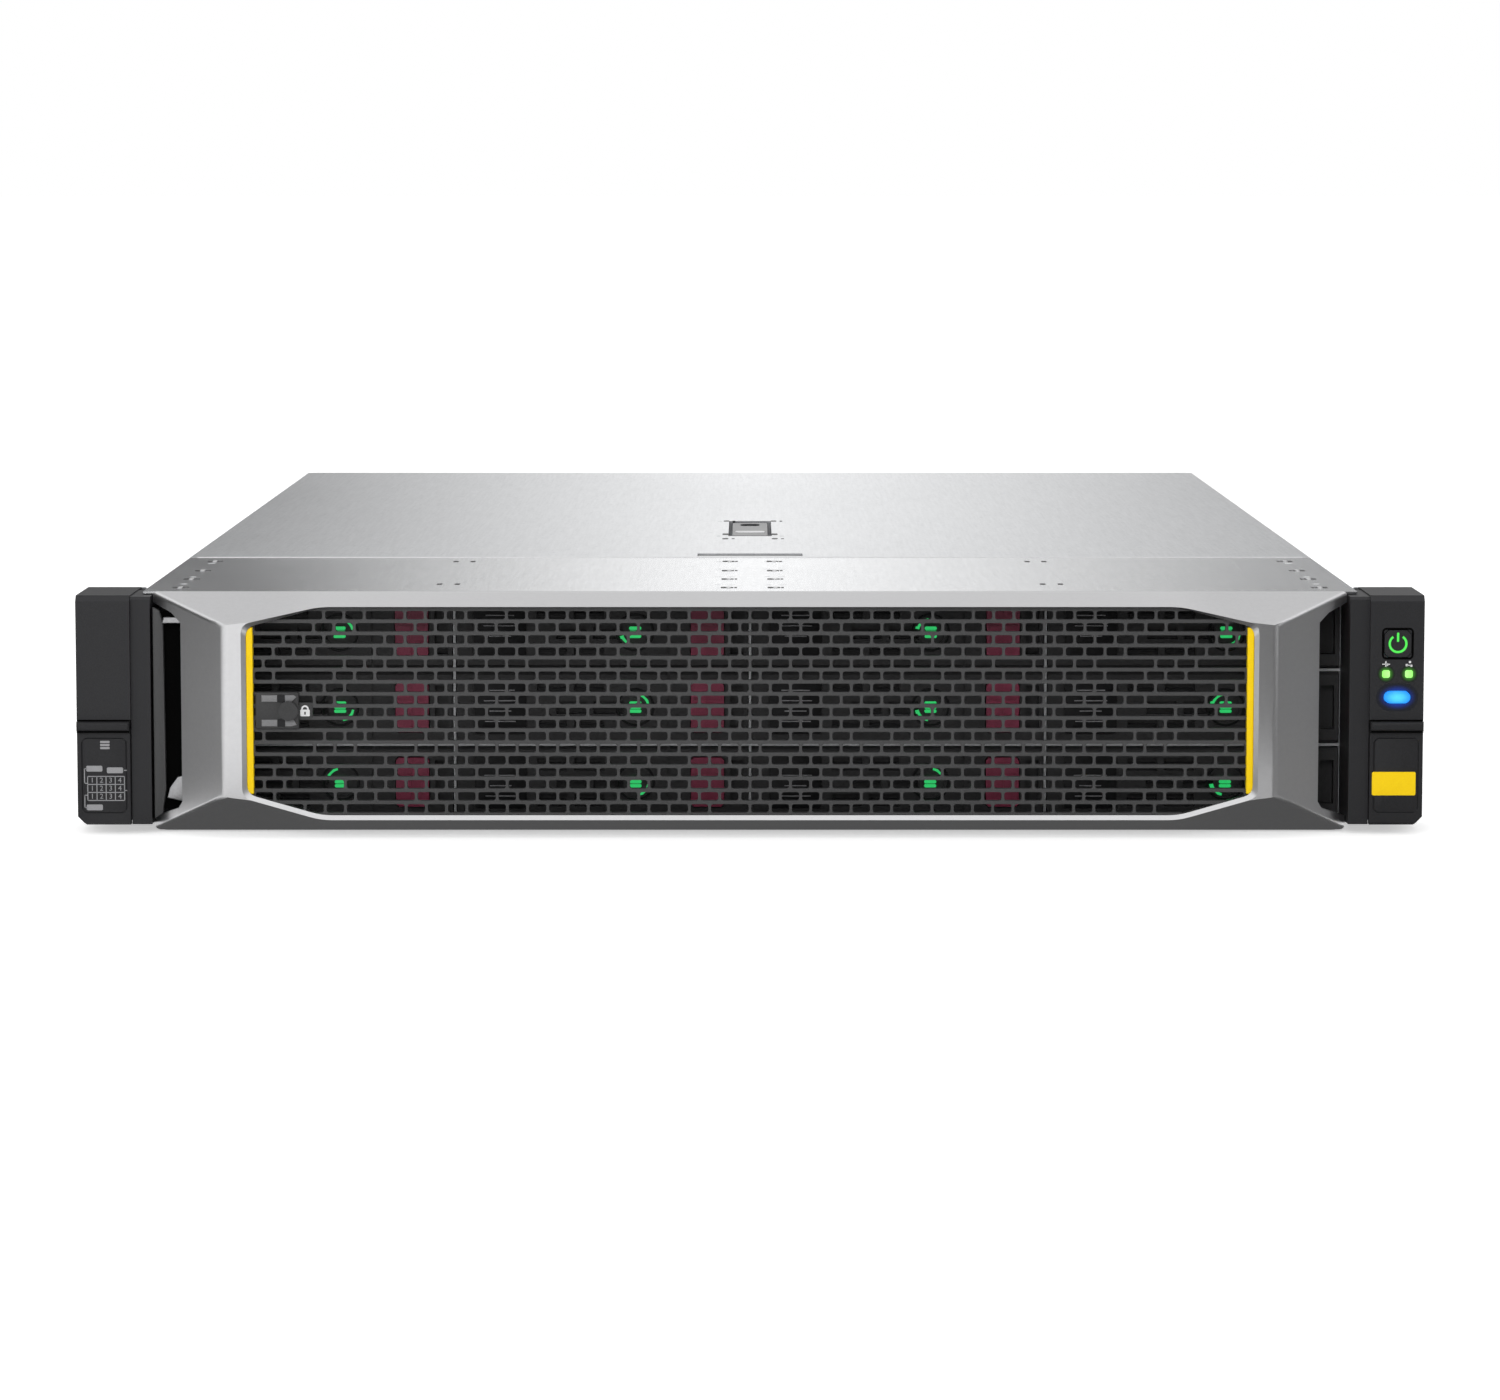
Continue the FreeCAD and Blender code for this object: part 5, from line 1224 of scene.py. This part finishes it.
class SERVER_OT_bezel_hooks(bpy.types.Operator):
    """Model the black plate of painted shade and the two metal hooks at the bezel's left end"""

    bl_idname = "server.bezel_hooks"
    bl_label = "Bezel hooks"

    def execute(self, context):
        edge = BEZEL_LOW_CORNER.x
        # A black plate of painted shade, seen through the notch between the wing and the ear.
        liner = plate(
            "bezel_liner", (edge + 0.0008, edge + 0.0235), (0.0085, 0.0795), 0.0060, 0.0074, corner=0.002)
        finish_piece(liner, "bezel", "liner")
        wall = (
            (0.0002, 0.0050), (0.0031, 0.0071), (0.0044, 0.0158), (0.0039, 0.0761), (0.0025, 0.0800),
            (0.0002, 0.0812),
        )
        upper = ((0.0036, 0.0757), (0.0120, 0.0757), (0.0120, 0.0779), (0.0044, 0.0779))
        lower = ((0.0050, 0.0128), (0.0120, 0.0112), (0.0120, 0.0210), (0.0088, 0.0204), (0.0060, 0.0166))
        self.bracket("bezel_end_wall", wall, 0.0031, 0.0066, 0.0003, "grille_plastic", "grille")
        self.bracket("bezel_hook_upper", upper, 0.0016, 0.0030, 0.0004, "key_metal", "hook")
        self.bracket("bezel_hook_lower", lower, 0.0016, 0.0030, 0.0004, "key_metal", "hook")
        return {"FINISHED"}

    def bracket(self, name, outline, near, far, rounding, slot, finish):
        # A flat piece with a rounded front edge; its outline starts at the bezel's left end.
        piece = new_prism(name, [(BEZEL_LOW_CORNER.x + x, z) for x, z in outline], near, far)
        bevel_front(piece, rounding, near + 0.0001)
        finish_piece(piece, "bezel", finish)


# Drives

# Angle in degrees at which the lit arc of each drive starts, row by row from the top left.
LIT_ARCS = ((12, 195, 100, 285), (282, 15, 193, 100), (103, 282, 12, 190))


class SERVER_OT_drive_fronts(bpy.types.Operator):
    """Model one drive's label field and light ring, and copy them to all twelve"""

    bl_idname = "server.drive_fronts"
    bl_label = "Drive fronts"

    def execute(self, context):
        low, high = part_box("drive_1")
        first = box_middle("drive_1")
        z = first.z
        face = low.y - EAR_FRONT
        ring_x = high.x - 0.0410
        trim = self.trim(low.x, ring_x, z, face)
        rules = self.rules(low.x + 0.0158, z, face)
        stack = self.stack(ring_x, z, face)
        arcs = {}
        for start in sorted(set(sum(LIT_ARCS, ()))):
            arcs[start] = arc_band(
                "arc", (ring_x, z), 0.0044, 0.0058, start, 66, face + 0.0002, face + 0.0012)
        for number in range(1, 13):
            shift = box_middle("drive_%d" % number) - first
            row, column = divmod(number - 1, 4)
            body = "bay_%d" % number
            field = copy_piece(trim, "drive_trim_%d" % number, shift)
            finish_piece(field, body, "panel")
            lines = copy_piece(rules, "drive_rules_%d" % number, shift)
            finish_piece(lines, body, "grey_print", 0)
            discs = copy_piece(stack, "discs", shift)
            arc = copy_piece(arcs[LIT_ARCS[row][column]], "arc", shift)
            light = join_pieces([discs, arc], "drive_light_%d" % number)
            finish_piece(light, body, "drive_light")
        discard(trim, rules, stack, *arcs.values())
        return {"FINISHED"}

    def trim(self, left, ring_x, z, face):
        # Label field with rounded corners, a ring round the lights and a row of vent bars.
        parts = [plate(
            "field", (left + 0.0063, left + 0.0253), (z - 0.0097, z + 0.0097),
            face + 0.0001, face + 0.0008, corner=0.001, edge=0.0002)]
        let_go()
        bpy.ops.mesh.primitive_torus_add(
            location=(ring_x, depth(face), z), rotation=(math.pi / 2, 0, 0), major_segments=28,
            minor_segments=6, major_radius=0.0066, minor_radius=0.00045)
        parts.append(added("ring"))
        for row in range(3):
            start = left + 0.0296 + (row % 2) * 0.007
            low = z - 0.0072 + row * 0.0066
            for x in (start, start + 0.0135):
                parts.append(plate(
                    "slat", (x, x + 0.0102), (low, low + 0.0009), face + 0.0006, face + 0.0026))
        return join_pieces(parts, "drive_trim")

    def rules(self, middle, z, face):
        parts = []
        for height, reach in ((0.0062, 0.0052), (0.0024, 0.0060), (-0.0014, 0.0040), (-0.0052, 0.0056)):
            parts.append(patch("rule", (middle, z + height), reach, 0.0002, face + 0.00002, face + 0.0003))
        return join_pieces(parts, "drive_rules")

    def stack(self, ring_x, z, face):
        # Sign of three stacked discs in the middle of the ring.
        parts = []
        for step in (-1, 0, 1):
            parts.append(patch(
                "disc", (ring_x, z + step * 0.00148), 0.0022, 0.0006, face + 0.0002, face + 0.0012,
                corner=0.00055))
        return join_pieces(parts, "drive_stack")


# Covers and tray


class SERVER_OT_cover_marks(bpy.types.Operator):
    """Model the pressed marks of the fixed cover: dark patches of painted shade with a bright nub between
    them
    """

    bl_idname = "server.cover_marks"
    bl_label = "Cover marks"

    def execute(self, context):
        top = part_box("front_top_cover")[1].z
        low = top - 0.0004
        high = top + 0.00005
        # Dark patches of painted shade stand for the cut slots and the small dots beside them.
        slit = sheet_piece("slit", (-0.0010, 0.0010), (-0.0030, 0.0030), low, high, corner=0.0009)
        dot = sheet_piece("dot", (-0.0005, 0.0005), (-0.0022, 0.0022), low, high, corner=0.0004)
        nub = sheet_piece(
            "nub", (-0.0008, 0.0008), (-0.0026, 0.0026), low, top + 0.00028, corner=0.0007, edge=0.0002)
        shaded_slots = []
        nubs = []
        for y in (0.028, 0.066, 0.105, 0.150):
            for x, side in ((-0.0096, 1), (0.0074, 1), (-0.2085, 1), (0.2085, -1)):
                shaded_slots.append(copy_piece(slit, "slit", (x, y, 0)))
                nubs.append(copy_piece(nub, "nub", (x + side * 0.0018, y, 0)))
                for step in (0.0031, 0.0044):
                    shaded_slots.append(copy_piece(dot, "dot", (x + side * step, y, 0)))
        for x in (-0.1135, -0.1070, 0.1070, 0.1135):
            for y in (0.043, 0.149):
                shaded_slots.append(copy_piece(slit, "slit", (x, y, 0)))
        discard(slit, dot, nub)
        finish_piece(join_pieces(shaded_slots, "cover_slits"), "chassis", "dark")
        finish_piece(join_pieces(nubs, "cover_nubs"), "chassis", "bright")
        return {"FINISHED"}


class SERVER_OT_latch_trim(bpy.types.Operator):
    """Model painted shade for the gap, pivot ears and pressed marks round the cover latch, and the lid's
    front hem
    """

    bl_idname = "server.latch_trim"
    bl_label = "Latch trim"

    def execute(self, context):
        low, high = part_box("hood_latch")
        lid_low, lid_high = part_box("access_cover")
        top = lid_high.z
        front = low.y - EAR_FRONT
        rear = high.y - EAR_FRONT
        half = (high.x - low.x) / 2
        parts = []

        # Each mark is a dark patch of painted shade, in a gap or a pressed mark.
        def mark(x, half_x, y, half_y, rise, corner):
            parts.append(sheet_piece(
                "mark", (x - half_x, x + half_x), (y - half_y, y + half_y), top - 0.0006, top + rise,
                corner))

        for side in (-1, 1):
            x = side * (half + 0.0028)
            mark(x, 0.0013, front + 0.006, 0.004, 0.00006, 0.001)
            for y in (front - 0.019, rear + 0.009):
                mark(x, 0.0012, y, 0.003, 0.00005, 0.001)
                mark(x + 0.0032, 0.0006, y, 0.002, 0.00005, 0.0005)
        finish_piece(join_pieces(parts, "latch_marks"), "lid", "dark")
        grip = sheet_piece(
            "latch_grip", (-half + 0.0012, half - 0.0012), (front + 0.018, front + 0.026),
            high.z - 0.0004, high.z + 0.0002, corner=0.0015, edge=0.0002)
        finish_piece(grip, "latch", "bright")
        seam = lid_low.y - EAR_FRONT - 0.0003
        # A grey plate of painted shade at the bottom of the lid's finger slot.
        inset = sheet_piece(
            "finger_inset", (-0.0204, 0.0204), (seam + 0.0082, seam + 0.0218), top - 0.0017, top - 0.0007,
            corner=0.002, edge=0.0002)
        finish_piece(inset, "lid", "grip")
        hem_half = lid_high.x - 0.003
        hem = sheet_piece(
            "cover_hem", (-hem_half, hem_half), (seam + 0.0004, seam + 0.0014), top - 0.0003, top + 0.00025,
            edge=0.0002)
        finish_piece(hem, "lid", "bright")
        return {"FINISHED"}


class SERVER_OT_tray_lip(bpy.types.Operator):
    """Model the thin lip of the tray that runs forward under the lowest drives"""

    bl_idname = "server.tray_lip"
    bl_label = "Tray lip"

    def execute(self, context):
        tray_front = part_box("chassis_tray")[0].y - EAR_FRONT
        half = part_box("drive_cage")[1].x - 0.0048
        lip = sheet_piece(
            "tray_lip", (-half, half), (0.0096, tray_front + 0.0003), 0.0002, 0.0011, corner=0.003,
            edge=0.0003)
        finish_piece(lip, "chassis", "zinc")
        return {"FINISHED"}


# Rear


def cut_corner_outline(left, low, wide, tall, inset, corner):
    # Eight corners of a rectangle, made smaller by an inset, with its corners cut off.
    x0 = left + inset
    x1 = left + wide - inset
    z0 = low + inset
    z1 = low + tall - inset
    return [
        (x0 + corner, z0), (x1 - corner, z0), (x1, z0 + corner), (x1, z1 - corner),
        (x1 - corner, z1), (x0 + corner, z1), (x0, z1 - corner), (x0, z0 + corner),
    ]


class SERVER_OT_supply_trim(bpy.types.Operator):
    """Model the black inlet, painted shade in the vents and the lamp on the rear of each power supply"""

    bl_idname = "server.supply_trim"
    bl_label = "Supply trim"

    def execute(self, context):
        for number in (1, 2):
            low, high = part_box("psu_%d" % number)
            body = "supply_%d" % number
            self.inlet(number, body, low.x + 0.004, low.z + 0.004)
            self.vents(number, body, low.x, low.z, high.z)
            lens = patch(
                "supply_lamp_%d" % number, (low.x + 0.0315, low.z + 0.0335), 0.0013, 0.0013,
                REAR - 0.0004, REAR + 0.0003, corner=0.0012)
            finish_piece(lens, body, "power_light")
        return {"FINISHED"}

    def inlet(self, number, body, left, low):
        # Black shroud with cut corners, open to the rear, round the three blades.
        wide = 0.027
        tall = 0.0195
        shroud = new_prism(
            "supply_inlet_%d" % number, cut_corner_outline(left, low, wide, tall, 0.0002, 0.0029),
            REAR - 0.0134, REAR + 0.0006)
        hollow = new_prism(
            "hollow", cut_corner_outline(left, low, wide, tall, 0.0022, 0.0022), REAR - 0.0115, REAR + 0.003)
        cut_away(shroud, hollow)
        bevel_rear(shroud, 0.0003, REAR + 0.0005)
        finish_piece(shroud, body, "dark")

    def vents(self, number, body, left, low, high):
        # Black plates of painted shade at the bottom of every vent slot in the case's rear.
        row_pitch = 0.006
        column_pitch = 0.009
        handle_half = 0.0075
        middle = (low + high) / 2
        vent_shade_plates = []
        for row in range(6):
            z = low + 0.003 + row * row_pitch
            if abs(z + 0.0018 - middle) <= handle_half:
                continue
            for column in range(4):
                x = left + 0.035 + column * column_pitch + (row % 2) * 0.0015
                vent_shade_plates.append(rear_plate(
                    "slat", (x + 0.0001, x + 0.0064), (z + 0.0001, z + 0.0035), -0.0032, -0.0014, 0.0006))
        finish_piece(join_pieces(vent_shade_plates, "supply_vents_%d" % number), body, "liner")


class SERVER_OT_port_inserts(bpy.types.Operator):
    """Model the rear sockets' black lining, partly painted shade, contacts, link lamps and the video plug
    face
    """

    bl_idname = "server.port_inserts"
    bl_label = "Port inserts"

    def execute(self, context):
        ports = 5
        port_pitch = 0.014
        pin_pitch = 0.00108
        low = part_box("rear_ports")[0]
        left = low.x + 0.003
        lining_and_shade_parts = []
        contacts = []
        lamps = []
        for port in range(ports):
            x = left + port * port_pitch
            z = low.z + 0.003
            # Black lining at the back of each socket: partly its own plastic, partly painted shade.
            lining_and_shade_parts.append(rear_plate(
                "lining", (x + 0.0001, x + 0.0119), (z + 0.0001, z + 0.0089), -0.0112, -0.0035, 0.0005))
            for pin in range(8):
                pin_x = x + 0.0020 + pin * pin_pitch
                contacts.append(rear_plate(
                    "contact", (pin_x, pin_x + 0.0005), (z + 0.0012, z + 0.0046), -0.0036, -0.0031, 0.0001))
            for lamp_x in (x + 0.0002, x + 0.0092):
                lamps.append(rear_plate(
                    "lamp", (lamp_x, lamp_x + 0.0026), (z + 0.0098, z + 0.0112), 0.0003, 0.0008, 0.0003))
        usb = left + ports * port_pitch
        for z in (low.z + 0.0025, low.z + 0.0105):
            lining_and_shade_parts.append(rear_plate(
                "lining", (usb + 0.0001, usb + 0.0129), (z + 0.0001, z + 0.0028), -0.0092, -0.0020, 0.0003))
            lining_and_shade_parts.append(rear_plate(
                "tongue", (usb + 0.0009, usb + 0.0121), (z + 0.0029, z + 0.0051), -0.0092, -0.0003, 0.0002))
        lining_and_shade_parts += self.video(usb + 0.016, low.z + 0.004)
        finish_piece(join_pieces(lining_and_shade_parts, "port_linings"), "chassis", "liner")
        finish_piece(join_pieces(contacts, "port_contacts"), "chassis", "gold")
        finish_piece(join_pieces(lamps, "port_lamps"), "chassis", "drive_light")
        return {"FINISHED"}

    def video(self, left, low):
        # Blue face, and three rows of dark patches of painted shade for its pin sockets, to go with the
        # socket lining.
        hole_pitch = 0.0022
        row_pitch = 0.0021
        hole = 0.0004
        outline = ((0.0017, 0.0002), (0.0153, 0.0002), (0.0167, 0.0083), (0.0003, 0.0083))
        face = new_prism(
            "video_face", [(left + x, low + z) for x, z in outline], REAR - 0.0062, REAR - 0.0008)
        bevel_rear(face, 0.0004, REAR - 0.0009)
        finish_piece(face, "chassis", "video")
        holes = []
        for row in range(3):
            for column in range(5):
                x = left + 0.0041 + column * hole_pitch + (row % 2) * hole
                z = low + 0.0021 + row * row_pitch
                holes.append(patch("pin", (x, z), hole, hole, REAR - 0.0012, REAR - 0.0007, corner=0.00035))
        return holes


class SERVER_OT_fasteners(bpy.types.Operator):
    """Model one cross-head screw and set copies on the rear panel, and rivets along both sides"""

    bl_idname = "server.fasteners"
    bl_label = "Screws and rivets"

    def execute(self, context):
        head = new_rod("screw", 24, 0.0026, (0, depth(REAR), 0), -math.pi / 2, (0, 0.0011, 0))
        bevel_rear(head, 0.0006, REAR + 0.001, segments=3)
        for wide, tall in ((0.0015, 0.0003), (0.0003, 0.0015)):
            cut_away(head, patch("slot", (0, 0), wide, tall, REAR + 0.0005, REAR + 0.003))
        places = [(0.2098, z) for z in (0.0235, 0.0438, 0.0641)]
        places += [(-0.0172, z) for z in (0.0438, 0.0641)]
        places += [(-0.2118, 0.0500), (-0.0600, 0.0500), (-0.0600, 0.0710), (0.0660, 0.0235)]
        places.append((0.1530, 0.0075))
        screws = [copy_piece(head, "screw", (x, 0, z)) for x, z in places]
        discard(head)
        finish_piece(join_pieces(screws, "rear_screws"), "chassis", "port")
        self.rivets()
        return {"FINISHED"}

    def rivets(self):
        # Low domes in two rows on each side wall.
        wall = -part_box("access_cover")[0].x - 0.0001
        rivet = new_rod("rivet", 20, 0.0022, (0, 0, 0), 0, (0, 0, 0.0007))
        bevel_top(rivet, 0.0006, 0.0006, segments=3)
        rows = []
        for side in (1, -1):
            turned = copy_piece(rivet, "turned", (0, 0, 0))
            turned.rotation_euler = (0, side * math.pi / 2, 0)
            added("turned")
            for y in (0.095, 0.165, 0.225, 0.300, 0.455, 0.560, 0.690):
                for z in (0.0090, 0.0700):
                    rows.append(copy_piece(turned, "rivet", (side * wall, depth(y), z)))
            discard(turned)
        discard(rivet)
        finish_piece(join_pieces(rows, "side_rivets"), "chassis", "port")


# Stage

# Lamps: name, place, aim, width, height and power.
LAMPS = (
    ("key_softbox", (-0.25, -2.2, 0.9), (0, -0.3, 0.04), 1.0, 0.8, 14),
    ("top_softbox", (0, 0.2, 2.2), (0, 0, 0.05), 1.2, 1.6, 16),
)
# Cards: name, place, aim or none for a card that lies flat, width, height, and its grey or the greys
# from its left to its right edge.
CARDS = (
    ("card_left", (-1.3, -0.7, 0.5), (-0.2, -0.7, 0.5), 1.6, 1.0, 0.05),
    ("card_right", (1.3, -0.7, 0.5), (0.2, -0.7, 0.5), 1.6, 1.0, 0.16),
    ("card_front_right", (0.95, -2.6, 0.6), (0.95, 0, 0.6), 1.7, 1.2, 0.04),
    ("card_floor_left", (-0.77, -0.7, 0.003), None, 1.06, 1.6, ((0, 0.2), (1, 0.24))),
    ("card_floor_right", (0.755, -0.7, 0.003), None, 1.08, 1.6, 0.24),
    ("card_low_front", (0, -1.4, 0.004), None, 1.2, 1.8, ((0, 1.0), (0.42, 1.0), (0.56, 0.1), (1, 0.1))),
    ("card_near_left", (-0.19, -0.475, 0.004), None, 0.3, 0.05, 1.0),
    ("card_under", (0, -0.035, -0.0001), None, 0.44, 0.83, 0.1),
    ("card_rear", (0, 3.0, 0.5), (0, 0, 0.5), 5.0, 1.0,
     ((0, 0.08), (0.395, 0.05), (0.5, 1.22), (0.61, 0.3), (1, 0.3))),
    ("card_high_rear", (0, 3.0, 1.8), (0, 0, 0.9), 5.0, 1.6, 0.76),
    ("card_ceiling", (0, 1.6, 2.6), None, 5.0, 4.0, 0.7),
)


def turned_to(place, aim, axis):
    return (Vector(aim) - Vector(place)).to_track_quat(axis, "Y").to_euler()


def lamp(name, place, aim, width, height, power):
    # Soft light that gloss doesn't see.
    let_go()
    bpy.ops.object.light_add(type="AREA", location=place)
    light = bpy.context.object
    light.name = name
    light.data.shape = "RECTANGLE"
    light.data.size = width
    light.data.size_y = height
    light.data.energy = power
    light.rotation_euler = turned_to(place, aim, "-Z")
    light.visible_glossy = False


def shade_card(name, place, aim, width, height, greys):
    # Studio card that only gloss sees.
    let_go()
    bpy.ops.mesh.primitive_plane_add(size=1, location=place)
    card = bpy.context.object
    card.name = name
    card.scale = (width, height, 1)
    if aim:
        card.rotation_euler = turned_to(place, aim, "Z")
    card.visible_camera = False
    card.visible_diffuse = False
    card.visible_shadow = False
    card.visible_transmission = False
    if isinstance(greys, float):
        greys = ((0, greys), (1, greys))
    material, tree, shader = new_material(name)
    split = add_node(tree, "SeparateXYZ", Vector=object_place(tree))
    along = map_range(tree, split.outputs["X"], From_Min=-0.5, From_Max=0.5)
    tones = ramp(tree, along, [(position, (grey, grey, grey, 1)) for position, grey in greys])
    feed(
        tree, shader, Base_Color=(0, 0, 0, 1), Specular_IOR_Level=0.0, Emission_Strength=1.0,
        Emission_Color=tones.outputs["Color"])
    card.data.materials.append(material)


def seen_directly(tree):
    # One where a camera, glossy or transmission ray arrives, nought for other rays.
    rays = add_node(tree, "LightPath").outputs
    first = maths(tree, "MAXIMUM", rays["Is Camera Ray"], rays["Is Glossy Ray"])
    return maths(tree, "MAXIMUM", first, rays["Is Transmission Ray"])


class SERVER_OT_stage(bpy.types.Operator):
    """Set up the pale floor, the soft lights and the camera"""

    bl_idname = "server.stage"
    bl_label = "Stage"

    def execute(self, context):
        scene = context.scene
        scene.view_settings.view_transform = "Standard"
        self.set_world(scene)
        self.lay_floor()
        for settings in LAMPS:
            lamp(*settings)
        for settings in CARDS:
            shade_card(*settings)
        self.place_camera(scene)
        return {"FINISHED"}

    def set_world(self, scene):
        world = bpy.data.worlds.new("studio")
        scene.world = world
        world.use_nodes = True
        tree = world.node_tree
        level = map_range(tree, seen_directly(tree), To_Min=0.62, To_Max=1.0)
        feed(tree, tree.nodes["Background"], Color=WHITE, Strength=level)

    def lay_floor(self):
        let_go()
        bpy.ops.mesh.primitive_plane_add(size=60, location=(0, 0, -0.0002))
        floor = added("floor")
        material, tree, shader = new_material("pale_floor")
        level = map_range(tree, seen_directly(tree), To_Min=0.0, To_Max=0.5)
        feed(
            tree, shader, Base_Color=(0.85, 0.85, 0.85, 1), Roughness=0.9, Specular_IOR_Level=0.0,
            Emission_Color=WHITE, Emission_Strength=level)
        floor.data.materials.append(material)

    def place_camera(self, scene):
        data = bpy.data.cameras.new("camera")
        data.sensor_width = 36
        data.lens = 123.6
        data.clip_end = 100
        camera = bpy.data.objects.new("camera", data)
        scene.collection.objects.link(camera)
        camera.location = (0, EAR_FRONT - 1.8345, 0.2414)
        camera.rotation_euler = (math.radians(83.992), 0, 0)
        scene.camera = camera


# Add-on

PIECES = [
    SERVER_OT_node_finishes,
    SERVER_OT_bezel_shell,
    SERVER_OT_brick_grille,
    SERVER_OT_lever_panels,
    SERVER_OT_bay_map,
    SERVER_OT_lever_label,
    SERVER_OT_ear_signs,
    SERVER_OT_lock_plate,
    SERVER_OT_bezel_hooks,
    SERVER_OT_drive_fronts,
    SERVER_OT_cover_marks,
    SERVER_OT_latch_trim,
    SERVER_OT_tray_lip,
    SERVER_OT_supply_trim,
    SERVER_OT_port_inserts,
    SERVER_OT_fasteners,
    SERVER_OT_stage,
]


class SERVER_PT_panel(bpy.types.Panel):
    """Lists the pieces of the server in the order they are made"""

    bl_idname = "SERVER_PT_panel"
    bl_label = "Rack server"
    bl_space_type = "VIEW_3D"
    bl_region_type = "UI"
    bl_category = "Server"

    def draw(self, context):
        for operator in PIECES:
            self.layout.operator(operator.bl_idname)
        for group in (context.scene.server_sizes, context.scene.server_colours):
            for name in group.__annotations__:
                self.layout.prop(group, name)


CLASSES = [ServerSizes, ServerColours] + PIECES + [SERVER_PT_panel]


def register():
    for item in CLASSES:
        bpy.utils.register_class(item)
    bpy.types.Scene.server_sizes = bpy.props.PointerProperty(type=ServerSizes)
    bpy.types.Scene.server_colours = bpy.props.PointerProperty(type=ServerColours)


def unregister():
    del bpy.types.Scene.server_sizes
    del bpy.types.Scene.server_colours
    for item in reversed(CLASSES):
        bpy.utils.unregister_class(item)


def call(operator):
    # Runs one operator of this file by its identifier.
    group, name = operator.bl_idname.split(".")
    getattr(getattr(bpy.ops, group), name)()


def main():
    register()
    for operator in PIECES:
        call(operator)


if __name__ == "__main__":
    main()
